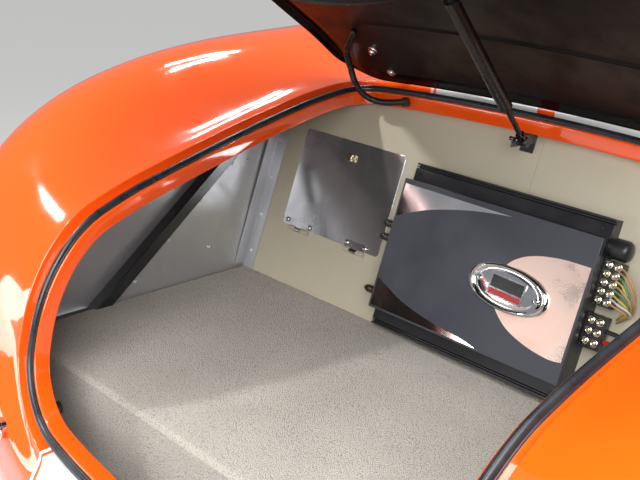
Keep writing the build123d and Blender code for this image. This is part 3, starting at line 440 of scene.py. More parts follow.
def mesh_of(name, shape, moved=Matrix()):
    """The mesh of a finished shape, moved to its place."""
    bmesh.ops.transform(shape, matrix=moved, verts=shape.verts)
    bmesh.ops.recalc_face_normals(shape, faces=shape.faces)
    mesh = bpy.data.meshes.new(name)
    shape.to_mesh(mesh)
    shape.free()
    return mesh


def add_shape(name, shape, material, node, body="body", stands_for=(), moved=Matrix()):
    """Turn a finished shape, moved to its place, into a piece."""
    return add_piece(name, mesh_of(name, shape, moved), material, body, stands_for)


def add_heads(name, form, steps, places, out, material, node, **settings):
    """A piece of turned forms that stand on the bulkhead at places across and up."""
    shape = bmesh.new()
    for x, up in places:
        turned(shape, form, on_bulkhead(x, up, out), OUT, steps)
    add_shape(name, shape, material, node, **settings)


rivets = bmesh.new()
for side in (-1, 1):
    spots = [(BRACE_TOP_Y - (BRACE_TOP_Z - z) * BRACE_RUN + RIVET_OFF_BRACE, z) for z in RIVETS_ALONG_BRACE]
    for y, z in spots + WALL_RIVETS:
        turned(rivets, RIVET, (side * (wall_x(y) + 0.2), y, z), (-side, 0, 0), 12)
    for up in ANGLE_RIVETS_UP:
        turned(rivets, RIVET, on_bulkhead(side * ANGLE_RIVET_X, up, ANGLE_RIVET_OUT), OUT, 12)
add_shape("wall_rivets", rivets, bright_rivet, "side_panel_left")

# Diagonal braces: square steel tube in gloss black with rounded corners. Each slopes
# down to the rear along a side wall and stands on the floor sheet.
brace_coat = worn("brace_coat", (0.012, 0.013, 0.016), 0.22, stain=(0.05, 0.05, 0.055), amount=0.2, loss=0.2,
                  coat=0.4, Grain=0.15)
eased(brace_coat, "brace_left", "brace_right", edge=2.5)

# Access panel: a polished aluminium door on two hinges at its lower edge, held
# shut at the top by a knurled finger screw. Hand polishing has left it cloudy.
POLISHED = (0.80, 0.81, 0.83)
KNURLS, KNURL_DEPTH = 28, 0.045
KNURL_FROM, KNURL_TO, KNURL_OUTSIDE = 3.3, 10.2, 8
FINGER_FOOT = [(9.0, 0), (9.0, 1.2), (7.6, 1.6), (7.6, 3.0)]
FINGER_HEAD = [(7.0, 3.0), (8.4, 3.6), (8.4, 9.8), (7.0, 10.6), (5.6, 11.2), (4.2, 10.7), (0, 10.7)]
PAN_HEAD = [(6.2, 0.0), (6.2, 0.6), (5.4, 0.7), (5.2, 1.6), (4.0, 2.5), (1.9, 2.9), (1.9, 1.7), (0.0, 1.7)]
PANEL_SCREWS, LEAF_TOP = ((-561.0, 142.0), (-492.0, 140.0), (-379.0, 140.0), (-327.0, 140.0)), 4.7
LOCK_PLACE, PANEL_TOP = (-430.0, 319.0), 3.1
polished = finish("polished", POLISHED, 0.12, metallic=0.92, effect=rolled, Dull=(0.62, 0.63, 0.66),
                  Gloss_Loss=0.09, Streaks=0.10, Scuffs=0.5, Stretch=(700, 5, 5))
hinge_metal = worn("hinge_metal", (0.66, 0.66, 0.66), 0.2, stain=(0.3, 0.29, 0.27), amount=0.4, loss=0.14,
                   metallic=1.0, Grain=0.05)
lock_metal = worn("lock_metal", (0.70, 0.58, 0.38), 0.22, stain=(0.2, 0.17, 0.12), amount=0.5, loss=0.16,
                  metallic=1.0)
eased(polished, "access_panel", edge=0.8)
eased(hinge_metal, "panel_leaves", "panel_hinge_pins", edge=0.3)
eased(bulkhead_paint, "bulkhead_leaves", edge=0.3)
lock = bmesh.new()
lock_foot = on_bulkhead(*LOCK_PLACE, PANEL_TOP)
turned(lock, FINGER_FOOT, lock_foot, OUT, 28)
turned(lock, FINGER_HEAD, lock_foot, OUT, KNURLS * 2)
for vert in lock.verts:
    local = vert.co / MM - lock_foot
    height = local.dot(OUT)
    flat = local - OUT * height
    if KNURL_FROM < height < KNURL_TO and flat.length > KNURL_OUTSIDE:
        wave = KNURL_DEPTH * math.cos(math.atan2(flat.z, flat.x) * KNURLS)
        vert.co = MM * (lock_foot + OUT * height + flat * (1 + wave))
add_shape("panel_finger_screw", lock, lock_metal, "panel_lock", "access_panel", ("panel_lock",))
add_heads("panel_screws", PAN_HEAD, 16, PANEL_SCREWS, LEAF_TOP, hinge_metal, "panel_leaves",
          body="access_panel")

# Amplifier: a finned aluminium body anodised black, and over it a charcoal cover
# with bright inlays cut to curves.
AMP_CHARCOAL = (0.040, 0.043, 0.055)
COVER_LEFT, COVER_RIGHT = -238.0, 192.0
COVER_LOW, COVER_HIGH = 42.0, 314.0
COVER_TOP = 62.0
RIM = 5.0
INLAY_DEPTH, INLAY_RISE = 0.2, 0.5
CURVE_STEPS = 6
TOP_WEDGE = [(16, 302), (-41, 295), (-99, 284), (-170, 264), (COVER_LEFT + RIM, 236)]
LOW_WEDGE = [(20, COVER_LOW + RIM), (-14, 54), (-61, 58), (-120, 67), (-172, 80), (COVER_LEFT + RIM, 106)]
RIGHT_UPPER = [(22, 170), (25, 200), (42, 226), (75, 245), (127, 256), (COVER_RIGHT - RIM, 258)]
RIGHT_LOWER = [(COVER_RIGHT - RIM, 84), (161, 81), (113, 88), (67, 105), (35, 132), (23, 156)]
anodised = worn("anodised", (0.014, 0.014, 0.017), 0.42, stain=(0.05, 0.05, 0.052), amount=0.3, loss=0.36,
                Grain_Scale=1400.0, Grain=0.2)
cover_paint = worn("cover_paint", AMP_CHARCOAL, 0.42, stain=(0.06, 0.063, 0.075), amount=0.35, loss=0.4,
                   Grain_Scale=1900.0, Grain=0.16)
bright_inlay = finish("bright_inlay", (0.90, 0.90, 0.91), 0.08, metallic=1.0, effect=rolled,
                      Dull=(0.7, 0.7, 0.72), Gloss_Loss=0.07, Streaks=0.04, Scuffs=0.3, Stretch=(5, 800, 800))
# The right inlay is bright metal. Its rosy colour, and the more orange colour of its dull patches, are a
# painted reflection of the orange body.
reflection_tinted_inlay = finish("reflection_tinted_inlay", (0.92, 0.72, 0.64), 0.2, metallic=1.0, effect=rolled,
                    Dull=(0.92, 0.58, 0.45), Gloss_Loss=0.2, Streaks=0.01, Scuffs=0.9, Stretch=(8, 300, 300))
eased(anodised, "amplifier_body", edge=0.8)
eased(cover_paint, "amplifier_cover", edge=1.6, segments=3)


def plate_on_cover(name, outline, low, high, material, node="amplifier_cover"):
    """A thin plate over the amplifier's cover, from its outline across and up."""
    shape = bmesh.new()
    lower, upper = ([shape.verts.new(MM * on_bulkhead(x, up, COVER_TOP + out)) for x, up in outline]
                    for out in (low, high))
    shape.faces.new(lower)
    shape.faces.new(upper)
    band(shape, lower, upper)
    add_shape(name, shape, material, node)


def cubic(start, start_slope, end, end_slope, t):
    """Place at t on the cubic from start to end with its slopes at both."""
    return (start * (2 * t**3 - 3 * t**2 + 1) + start_slope * (t**3 - 2 * t**2 + t)
            + end * (3 * t**2 - 2 * t**3) + end_slope * (t**3 - t**2))


def four_round(items, i):
    """An item and the next one, with the neighbours before and after them."""
    return [items[min(max(k, 0), len(items) - 1)] for k in range(i - 1, i + 3)]


def curve_through(points):
    """Smooth line through points across and up."""
    points = [Vector(point) for point in points]
    line = []
    for i in range(len(points) - 1):
        before, a, b, after = four_round(points, i)
        line += [cubic(a, (b - before) / 2, b, (after - a) / 2, k / CURVE_STEPS) for k in range(CURVE_STEPS)]
    return line + [points[-1]]


top_corner = (COVER_LEFT + RIM, COVER_HIGH - 2 * RIM)
low_corner = (COVER_LEFT + RIM, COVER_LOW + RIM)
for name, outline, material in (("inlay_top", [top_corner] + curve_through(TOP_WEDGE), bright_inlay),
                                ("inlay_low", [low_corner] + curve_through(LOW_WEDGE), bright_inlay),
                                ("inlay_right", curve_through(RIGHT_UPPER) + curve_through(RIGHT_LOWER),
                                 reflection_tinted_inlay)):
    plate_on_cover(name, outline, -INLAY_DEPTH, INLAY_RISE, material)

# Badge: a chromed oval casting with a raised rim, a plain field and two screws.
# Small socket screws hold the amplifier's rails to the bulkhead.
BADGE_CENTRE, BADGE_HALF, PLAQUE_HALF = (49.0, 173.0), (85.0, 42.0), (37.0, 21.0)
BADGE_TILT = math.radians(-3)
BADGE_STEPS, BADGE_WAIST = 72, 0.10
BADGE_RINGS = [(1.0, -0.5), (1.0, 4.0), (0.965, 7.0), (0.91, 8.4), (0.85, 7.6), (0.81, 5.2), (0.74, 4.6),
               (0.70, 5.4), (0.66, 5.8), (0.3, 6.4), (0.0, 6.6)]
BADGE_SCREW = [(5.2, 4.5), (5.2, 7.2), (4.2, 8.4), (2.2, 8.8), (2.0, 7.4), (0, 7.4)]
SOCKET_HEAD = [(3.6, -0.2), (3.6, 1.6), (3.1, 2.1), (1.9, 2.1), (1.7, 0.6), (0.0, 0.6)]
BADGE_SCREWS = ((-12.0, 177.0), (109.0, 170.0))
RAIL_SCREWS = [(x, up) for x in (-228.0, -31.0, 172.0) for up in (22.0, 329.0)]
RAIL_TOP = 34.0
badge_chrome = worn("badge_chrome", (0.86, 0.86, 0.88), 0.06, stain=(0.6, 0.6, 0.62), amount=0.2, loss=0.03,
                    metallic=1.0, Grain=0.02)
plaque_black = worn("plaque_black", (0.012, 0.012, 0.014), 0.12, stain=(0.03, 0.03, 0.03), amount=0.2,
                    loss=0.1, coat=0.5)
plaque_red = worn("plaque_red", (0.36, 0.01, 0.012), 0.18, stain=(0.2, 0.01, 0.01), amount=0.3, loss=0.12,
                  coat=0.5)


def on_badge(x, up):
    """Place across and up on the bulkhead of a place on the tilted badge."""
    return (BADGE_CENTRE[0] + x * math.cos(BADGE_TILT) - up * math.sin(BADGE_TILT),
            BADGE_CENTRE[1] + x * math.sin(BADGE_TILT) + up * math.cos(BADGE_TILT))


badge = bmesh.new()
rings = []
for share, height in BADGE_RINGS:
    ring = []
    for i in range(BADGE_STEPS if share else 1):
        a = 2 * math.pi * i / BADGE_STEPS
        waist = 1 + BADGE_WAIST * abs(math.cos(a)) ** 3
        place = on_badge(BADGE_HALF[0] * share * math.cos(a), BADGE_HALF[1] * share * math.sin(a) * waist)
        ring.append(badge.verts.new(MM * on_bulkhead(*place, COVER_TOP + height)))
    rings.append(ring)
for low, high in zip(rings, rings[1:]):
    band(badge, low, high)
add_shape("amplifier_badge", badge, badge_chrome, "strut_rod")
FIELDS = (("plaque_frame", -1, 1, 1, 5.0, 7.4, badge_chrome),
          ("plaque_field", -0.22, 0.86, 0.9, 7.0, 7.9, plaque_black),
          ("plaque_band", -0.86, -0.36, 0.9, 7.0, 7.9, plaque_red))
for name, low, high, half, base, top, material in FIELDS:
    corners = [on_badge(PLAQUE_HALF[0] * x, PLAQUE_HALF[1] * up)
               for x, up in ((-half, low), (half, low), (half, high), (-half, high))]
    plate_on_cover(name, corners, base, top, material, "strut_rod")
add_heads("badge_screws", BADGE_SCREW, 24, BADGE_SCREWS, COVER_TOP, badge_chrome, "strut_rod")
add_heads("rail_screws", SOCKET_HEAD, 14, RAIL_SCREWS, RAIL_TOP, anodised, "amplifier_body")

# Amplifier fittings: signal plugs with red rings at the left, and at the right a
# fuse cap and two black terminal blocks with rows of plated screws.
ACROSS = Vector((1, 0, 0))
SEATED = 0.3
PLUG_UP, PLUG_OUT = (73.0, 186.0, 214.0), 46.0
PLUG_RIBS = [(8.0 if k % 2 else 7.2, 9 + 1.7 * k) for k in range(6)]
PLUG = [(0, 0), (6.6, 0), (6.6, 7), (8.0, 8), *PLUG_RIBS, (7.8, 21), (6.6, 26), (3.8, 30), (0, 30)]
PLUG_RING = [(6.7, 2.0), (8.0, 2.0), (8.0, 5.6), (6.7, 5.6)]
CAP_UP, CAP_OUT = 301.0, 22.0
CAP = [(0, 0), (15.0, 0), (15.0, 7.0), (19.0, 8.0), (19.0, 29.0), (18.2, 33.0), (15.4, 37.0), (11.0, 39.4),
       (0, 40.0)]
BLOCK_TOP = 30.0
TERMINAL = [(7.4, -0.5), (7.4, 0.9), (6.9, 1.2), (5.6, 1.2), (5.5, 3.6), (4.9, 4.6), (3.4, 5.2), (2.6, 5.2),
            (2.4, 3.2), (0, 3.2)]
TERMINAL_ROWS = ((132.0, 151.0, 170.0), (207.0, 223.0, 239.0, 255.0, 271.0))
TERMINAL_X = (COVER_RIGHT + 10.0, COVER_RIGHT + 27.0)
FENCE_X = (COVER_RIGHT + 1.0, COVER_RIGHT + 37.0)
FENCE_SECTION = ((-0.9, -0.5), (-0.9, 4.0), (0.9, 4.0), (0.9, -0.5))
black_plastic = worn("black_plastic", (0.016, 0.016, 0.017), 0.35, stain=(0.05, 0.05, 0.05), amount=0.25,
                     loss=0.28, Grain_Scale=1100.0, Grain=0.2)
red_plastic = worn("red_plastic", (0.45, 0.012, 0.012), 0.3, stain=(0.2, 0.01, 0.01), amount=0.3, loss=0.25)
plated = worn("plated", (0.82, 0.76, 0.60), 0.16, stain=(0.4, 0.33, 0.2), amount=0.4, loss=0.12, metallic=1.0)
plugs, plug_rings, cap, fences = (bmesh.new() for k in range(4))
for up in PLUG_UP:
    foot = on_bulkhead(COVER_LEFT - SEATED, up, PLUG_OUT)
    turned(plugs, PLUG, foot, -ACROSS, 24)
    turned(plug_rings, PLUG_RING, foot, -ACROSS, 24)
add_shape("signal_plugs_ribbed", plugs, black_plastic, "signal_plugs", stands_for=("signal_plugs",))
add_shape("plug_rings", plug_rings, red_plastic, "cable_red")
turned(cap, CAP, on_bulkhead(COVER_RIGHT + SEATED, CAP_UP, CAP_OUT), ACROSS, 48)
add_shape("fuse_cap_turned", cap, black_plastic, "fuse_cap", stands_for=("fuse_cap",))
eased(black_plastic, "power_block", "speaker_block", edge=1.2)
for row in TERMINAL_ROWS:
    half_pitch = (row[1] - row[0]) / 2
    for up in [row[0] - half_pitch] + [up + half_pitch for up in row]:
        ends = [[fences.verts.new(MM * on_bulkhead(x, up + w, BLOCK_TOP + out)) for w, out in FENCE_SECTION]
                for x in FENCE_X]
        band(fences, *ends)
        for end in ends:
            fences.faces.new(end)
add_shape("terminal_fences", fences, black_plastic, "power_block")
terminals = [(x, up) for row in TERMINAL_ROWS for up in row for x in TERMINAL_X]
add_heads("terminal_screws", TERMINAL, 20, terminals, BLOCK_TOP, plated, "panel_lock")

# Wiring at the amplifier: thin tan, green, yellow and white leads that leave the
# upper block in a loose fan, and the two heavier cables below, each into a gland.
WIRE_COLOURS = {"tan": (0.50, 0.29, 0.13), "green": (0.12, 0.28, 0.12), "yellow": (0.66, 0.50, 0.12),
                "white": (0.66, 0.64, 0.58)}
WIRE_R, CABLE_R = 1.9, 4.0
LEADS = [("tan", 271.0), ("green", 255.0), ("tan", 263.0), ("yellow", 247.0), ("green", 231.0),
         ("tan", 239.0), ("white", 215.0), ("tan", 207.0), ("yellow", 223.0)]
LEAD_START = COVER_RIGHT + 31.0
CABLE_START = COVER_RIGHT + 38.6
BLACK_CABLE_UP, RED_CABLE_UP = 158.0, 139.0
LEAD_LOW, LEAD_DROP = 196.0, 2.6
CABLE_ROUTE = [(0, 0, 20), (24, 0, 20), (48, -3, 25), (74, -8, 35), (98, -15, 41), (117, -22, 34),
               (117, -22, 14)]
GLAND = [(0, 0.3), (9.0, 0.3), (9.0, 3.0), (7.4, 4.0), (7.4, 9.0), (5.4, 13.0), (4.6, 13.9), (0, 13.9)]
black_rubber = worn("black_rubber", (0.014, 0.014, 0.015), 0.45, stain=(0.06, 0.06, 0.06), amount=0.3,
                    loss=0.4)
insulation = {name: worn("wire_" + name, colour, 0.4, stain=tuple(0.5 * c for c in colour), amount=0.3,
                         loss=0.35) for name, colour in WIRE_COLOURS.items()}


def smooth_line(route, resolution):
    """Points along the smooth line of a route, in the route's units."""
    curve = bpy.data.curves.new("route", "CURVE")
    curve.dimensions = "3D"
    curve.resolution_u = resolution
    spline = curve.splines.new("NURBS")
    spline.points.add(len(route) - 1)
    for point, place in zip(spline.points, route):
        point.co = (*place, 1)
    spline.order_u = 3
    spline.use_endpoint_u = True
    spline.resolution_u = resolution
    carrier = new_object("route", curve)
    bpy.context.view_layer.update()
    line = bpy.data.meshes.new_from_object(carrier)
    points = [vertex.co.copy() for vertex in line.vertices]
    bpy.data.objects.remove(carrier)
    bpy.data.curves.remove(curve)
    bpy.data.meshes.remove(line)
    return points


def lengths_along(points):
    """Distances along a line of points, from 0 at its start."""
    lengths = [0.0]
    for before, after in zip(points, points[1:]):
        lengths.append(lengths[-1] + (after - before).length)
    return lengths


def tube(points, radius_at, steps=12):
    """Shape of a tube through points in millimetres; its radius follows the distance along."""
    shape = bmesh.new()
    side = Vector((0.123, 0.456, 0.789))
    rings = []
    for i, (point, travelled) in enumerate(zip(points, lengths_along(points))):
        ahead = (points[min(i + 1, len(points) - 1)] - points[max(i - 1, 0)]).normalized()
        side = (side - ahead * side.dot(ahead)).normalized()
        other = ahead.cross(side)
        turns = [2 * math.pi * k / steps for k in range(steps)]
        rings.append([shape.verts.new(MM * (point + radius_at(travelled) * (
            side * math.cos(a) + other * math.sin(a)))) for a in turns])
    for low, high in zip(rings, rings[1:]):
        band(shape, low, high)
    shape.faces.new(rings[0][::-1])
    shape.faces.new(rings[-1])
    return shape


def lead_route(up, k):
    """Route of one thin lead from its screw, looping out and down behind the block."""
    spread = random.Random(k)
    bulge = spread.uniform(15, 27)
    rise = spread.uniform(6, 15)
    low = LEAD_LOW - LEAD_DROP * (k % 4)
    behind = k // 4
    route = [(0, up, BLOCK_TOP + 2), (8, up - 1, BLOCK_TOP + 4), (18, up - 4, BLOCK_TOP + rise),
             (16 + bulge, 0.6 * up + 0.4 * low, BLOCK_TOP + rise - 3),
             (18 + bulge, 0.25 * up + 0.75 * low, 22 + 3 * behind),
             (14 + 0.6 * bulge, low, 13 + 2.5 * behind), (6 + 0.4 * bulge, low - 12, 4)]
    return [on_bulkhead(LEAD_START + x, height, out) for x, height, out in route]


for k, (name, up) in enumerate(LEADS):
    line = smooth_line(lead_route(up, k), 6)
    lead = add_shape(f"lead_{k}_{name}", tube(line, lambda travelled: WIRE_R, 10), insulation[name],
                     "cable_black")
for node, up, material in (("cable_black", BLACK_CABLE_UP, black_rubber),
                           ("cable_red", RED_CABLE_UP, red_plastic)):
    line = smooth_line([on_bulkhead(CABLE_START + x, up + rise, out) for x, rise, out in CABLE_ROUTE], 8)
    cable = add_shape(node + "_sleeve", tube(line, lambda travelled: CABLE_R, 16), material, node,
                      stands_for=(node,))
end_x, end_rise = CABLE_ROUTE[-1][:2]
glands = [(CABLE_START + end_x, up + end_rise) for up in (BLACK_CABLE_UP, RED_CABLE_UP)]
add_heads("cable_glands_turned", GLAND, 24, glands, 0, black_rubber, "cable_glands",
          stands_for=("cable_glands",))

# Rear body moulding: glass fibre in orange gelcoat polished to a deep gloss, with
# two white racing stripes and pin lines along the centre. The deck, wings and tail
# are one skin round the boot opening, raw laminate underneath.
ORANGE = (0.94, 0.094, 0.005)
STRIPE_WHITE = (0.72, 0.72, 0.70)
STRIPE_CENTRE = -11.0
STRIPE_BANDS = ((18.5, 252.5), (259.0, 266.0))
SKIN = 5.0
EDGE_R, ROLL = 1.6, 2.6
GUTTER_FLOOR = 17.9
PROFILE_START = (310.0, 538.0)
PROFILE_ARCS = [(240.0, 5.0), (220.0, 9.5), (380.0, 1.5), (120.0, 6.0), (280.0, 54.0), (410.0, 45.0)]
SAG_DECK, SAG_TAIL = 9.7e-5, 3.6e-4
HALF_FRONT, HALF_REAR = 468.0, 399.0
FRONT_AT, WAIST_AT, REAR_AT = 206.0, 540.0, 1388.0
FRONT_CORNER_R, WAIST_R, REAR_CORNER_R = 90.0, 1500.0, 150.0
ARCH_R, ARCH_Y, ARCH_Z = 370.0, 100.0, -88.0
WING_STEPS, LOW_STEPS = 12, 48
WELD_UNDER = 0.05 * MM
SHARP_OVER = math.radians(50)
WING_ROWS = [
    (0.0, -700, 310, 607, -868, 310, 412, -838, 310, -200),
    (0.12, -700, 107, 588, -870, 107, 390, -840, 107, -200),
    (0.28, -698, -164, 555, -868, -164, 352, -838, -164, -200),
    (0.385, -692, -342, 515, -860, -342, 312, -830, -342, -200),
    (0.478, -680, -497, 456, -842, -497, 270, -812, -495, -205),
    (0.574, -655, -630, 370, -800, -600, 210, -775, -590, -215),
    (0.641, -610, -690, 290, -745, -675, 150, -725, -660, -225),
    (0.716, -545, -745, 190, -660, -730, 80, -640, -705, -235),
    (0.781, -450, -785, 70, -520, -775, -10, -500, -735, -242),
    (0.846, -290, -808, -45, -310, -802, -95, -300, -757, -247),
    (1.0, 0, -817, -60, 0, -810, -110, 0, -762, -248),
]


def profile(s):
    """Place (y, z) and downward heading of the centre profile at length s."""
    (y, z), heading = PROFILE_START, 0.0
    for length, turn_deg in PROFILE_ARCS:
        radius = length / math.radians(turn_deg)
        angle = min(max(s, 0.0), length) / radius
        y -= radius * (math.sin(heading + angle) - math.sin(heading))
        z += radius * (math.cos(heading + angle) - math.cos(heading))
        heading += angle
        s -= length
        if s <= 0:
            break
    return y, z, heading


def skin_point(x, s, depth):
    """Point of the skin at width x and profile length s, at a depth below it."""
    y, z, heading = profile(s)
    sag = (SAG_DECK + (SAG_TAIL - SAG_DECK) * math.sin(heading) ** 2) * x * x + depth
    return Vector((x, y + sag * math.sin(heading), z - sag * math.cos(heading)))


def opening_outline():
    """Left half of the opening's outline, front to rear: x, s, inward x and s."""
    lean = math.atan2(HALF_FRONT - HALF_REAR, REAR_AT - WAIST_AT)
    rear_x = REAR_CORNER_R / math.cos(lean) - REAR_CORNER_R * math.tan(lean) - HALF_REAR
    side_on = math.pi / 2
    stations = [(0.0, FRONT_AT, 0.0, 1.0)]
    for x, s, radius, start, end, steps, lead in (
            (FRONT_CORNER_R - HALF_FRONT, FRONT_AT + FRONT_CORNER_R, FRONT_CORNER_R, -side_on, 0.0, 15, 12),
            (WAIST_R - HALF_FRONT, WAIST_AT - WAIST_R * math.tan(lean / 2), WAIST_R, 0.0, lean, 3, 9),
            (rear_x, REAR_AT - REAR_CORNER_R, REAR_CORNER_R, lean, side_on, 18, 33)):
        corner = []
        for step in range(steps + 1):
            a = start + (end - start) * step / steps
            corner.append((x - radius * math.cos(a), s + radius * math.sin(a), math.cos(a), -math.sin(a)))
        from_x, from_s = stations[-1][:2]
        to_x, to_s, *inward = corner[0]
        stations += [(from_x + (to_x - from_x) * k / lead, from_s + (to_s - from_s) * k / lead, *inward)
                     for k in range(1, lead)] + corner
    return stations + [(rear_x * (1 - k / 9), REAR_AT, 0.0, -1.0) for k in range(1, 10)]


opening = opening_outline()
corner_end = next(i for i, station in enumerate(opening) if station[2] > 0.9999)


def bend(start, start_way, end, end_way, count):
    """Points of a cubic from start to end, without the end itself."""
    reach = (end - start).length
    return [cubic(start, start_way * reach, end, end_way * reach, i / count) for i in range(count)]


def wing_row(share):
    """Crown, flank and foot of the wing at a share of the way along it."""
    i = max(k for k in range(len(WING_ROWS) - 1) if WING_ROWS[k][0] <= share)
    before, a, b, after = four_round(WING_ROWS, i)
    span = b[0] - a[0]
    values = [cubic(a[k], (b[k] - before[k]) / (b[0] - before[0]) * span, b[k],
                    (after[k] - a[k]) / (after[0] - a[0]) * span, (share - a[0]) / span)
              for k in range(1, 10)]
    return Vector(values[0:3]), Vector(values[3:6]), Vector(values[6:9])


def in_arch(point):
    """How far a point lies inside the wheel arch's circle."""
    return ARCH_R - math.hypot(point.y - ARCH_Y, point.z - ARCH_Z)


def evenly_spaced(line, steps):
    """Points at even distances along a line of points."""
    lengths = lengths_along(line)
    spaced = []
    for i in range(steps + 1):
        target = lengths[-1] * i / steps
        k = max(1, next((n for n, v in enumerate(lengths) if v >= target - 1e-9), len(line) - 1))
        spaced.append(line[k - 1].lerp(line[k], (target - lengths[k - 1]) / (lengths[k] - lengths[k - 1])))
    return spaced


def wing_line(x, s, out, share):
    """Points of the wing's outer skin from the opening's edge out and down."""
    edge = skin_point(x, s, 0)
    crown, flank, foot = wing_row(share)
    down = min(1.0, max(0.0, -out[1])) ** 2
    over = Vector((*out, 0)) * (1 - down)
    edge_way = (over + Vector((0, 0, 0.18 * (1 - down) - down))).normalized()
    crown_way = (over + Vector((0, 0, -down))).normalized()
    foot_way = (foot - flank).normalized()
    flank_way = (foot_way * 0.25 + Vector((0, 0, -1))).normalized()
    upper = bend(edge, edge_way, crown, crown_way, WING_STEPS)
    upper += bend(crown, crown_way, flank, flank_way, WING_STEPS)
    low = bend(flank, flank_way, foot, foot_way, LOW_STEPS) + [foot]
    inside = [k for k, point in enumerate(low) if in_arch(point) > 0]
    if out[0] < -0.99 and inside:
        before, after = low[inside[0] - 1], low[inside[0]]
        low = low[:inside[0]] + [before.lerp(after, in_arch(before) / (in_arch(before) - in_arch(after)))]
    return upper + evenly_spaced(low, WING_STEPS)


def wing_lines():
    """Lines of the wing from the deck's front edge back round the tail."""
    s_corner = opening[corner_end][1]
    stations = [(-HALF_FRONT, s_corner * i / WING_STEPS, 1.0, 0.0) for i in range(WING_STEPS)]
    stations += opening[corner_end:]
    lengths = lengths_along([Vector(station[:2]) for station in stations])
    return [wing_line(x, s, (-in_x, in_s), length / lengths[-1])
            for (x, s, in_x, in_s), length in zip(stations, lengths)]


def add_grid(shape, rows, close_columns=False, slots=None):
    """Add a grid of points in millimetres to a shape."""
    verts = [[shape.verts.new(MM * point) for point in row] for row in rows]
    for low, high in zip(verts, verts[1:]):
        for j in range(len(low) - (not close_columns)):
            beside = (j + 1) % len(low)
            face = shape.faces.new((low[j], high[j], high[beside], low[beside]))
            if slots:
                face.material_index = slots[j]


def add_round_opening(shape, section, **settings):
    """Add a section, inward and depth, carried round the left half of the opening."""
    add_grid(shape, [[skin_point(x + d * in_x, s + d * in_s, depth) for d, depth in section]
                     for x, s, in_x, in_s in opening], **settings)


def mirrored_join(shape):
    """Add the mirror image of a left half and weld the two at the centre."""
    geometry = bmesh.ops.duplicate(shape, geom=shape.verts[:] + shape.edges[:] + shape.faces[:])["geom"]
    for vert in geometry:
        if isinstance(vert, bmesh.types.BMVert):
            vert.co.x = -vert.co.x
    bmesh.ops.reverse_faces(shape, faces=[item for item in geometry if isinstance(item, bmesh.types.BMFace)])
    bmesh.ops.remove_doubles(shape, verts=shape.verts, dist=WELD_UNDER)


def thickened(piece, thickness, edge, inner=None):
    """Give a sheet its thickness inward, rounded edges and an inner face's material."""
    solid = piece.modifiers.new("thickness", "SOLIDIFY")
    solid.thickness = thickness * MM
    solid.offset = -1
    solid.use_even_offset = True
    if inner:
        piece.data.materials.append(inner)
        solid.material_offset = 1
    round_edges(piece, edge, 3, SHARP_OVER)


def stripes_effect():
    """White stripes and pin lines along the car on a gelcoat of any colour."""
    group, given, result = effect_group("striped_gelcoat", Colour=WHITE, Stripe=WHITE)
    place = add_node(group, "ShaderNodeTexCoord").outputs["Object"]
    across = add_node(group, "ShaderNodeSeparateXYZ", Vector=place).outputs[0]
    away = math_node(group, "ABSOLUTE", math_node(group, "SUBTRACT", across, STRIPE_CENTRE * MM))
    bands = [math_node(group, "MULTIPLY", math_node(group, "GREATER_THAN", away, inner * MM),
                       math_node(group, "LESS_THAN", away, outer * MM)) for inner, outer in STRIPE_BANDS]
    mask = math_node(group, "ADD", *bands)
    haze = noise_at(group, place, 14.0, Detail=6.0)
    ripple = noise_at(group, place, 55.0, Detail=2.0)
    feed(group, result, Base_Color=mix_colours(group, mask, given["Colour"], given["Stripe"]),
         Roughness=math_node(group, "MULTIPLY", haze, 0.22), Normal=bumped(group, ripple, 0.05, 0.0004))
    return group


striped = stripes_effect()
striped_gelcoat, plain_gelcoat = (
    tuned(finish(name, ORANGE, 0.15, coat=1.0, effect=striped, Stripe=stripe), Coat_Roughness=0.02)
    for name, stripe in (("striped_gelcoat", STRIPE_WHITE), ("plain_gelcoat", ORANGE)))
laminate = worn("laminate", (0.055, 0.05, 0.045), 0.7, stain=(0.12, 0.11, 0.09), amount=0.6, loss=0.6,
                Stain_Scale=40.0, Grain_Scale=700.0, Grain=0.8)
shape = bmesh.new()
add_grid(shape, [[skin_point(x, s * i / WING_STEPS, 0) for i in range(WING_STEPS + 1)]
                 for x, s, in_x, in_s in opening[:corner_end + 1]])
add_grid(shape, wing_lines())
rolled_edge = [(ROLL * math.sin(math.pi / 12 * k), ROLL * (1 - math.cos(math.pi / 12 * k))) for k in range(7)]
add_round_opening(shape, [(ROLL, GUTTER_FLOOR)] + rolled_edge[::-1])
mirrored_join(shape)
body = add_shape("body_moulding", shape, striped_gelcoat, "tail_shell", stands_for=("tail_shell",))
thickened(body, SKIN, EDGE_R, laminate)

# Gutter and lip: a second moulding bonded under the skin's edge. Its floor takes
# the seal, and its inner lip turns down into the boot with a rolled edge.
GUTTER = [(-20.0, 5.7), (0.0, 5.7), (0.0, 18.0), (36.0, 18.0), (36.0, 46.0), (32.0, 46.0), (32.0, 22.0),
          (-4.0, 22.0), (-4.0, 9.7), (-20.0, 9.7)]
GUTTER_ROUND = [0.5, 0.0, 2.5, 3.5, 1.9, 1.9, 2.0, 2.0, 1.0, 0.5]
ROUND_STEPS = 4
SEAL_FROM, SEAL_FLOOR = 17.0, 18.0


def rounded(corners, radii):
    """Outline of a section with its corners rounded."""
    points = []
    for i, (corner, radius) in enumerate(zip(corners, radii)):
        here = Vector(corner)
        before = (Vector(corners[i - 1]) - here).normalized()
        after = (Vector(corners[(i + 1) % len(corners)]) - here).normalized()
        for t in [k / ROUND_STEPS for k in range(ROUND_STEPS + 1)] if radius else [0]:
            points.append(here + radius * (before * (1 - t) ** 2 + after * t**2))
    return points


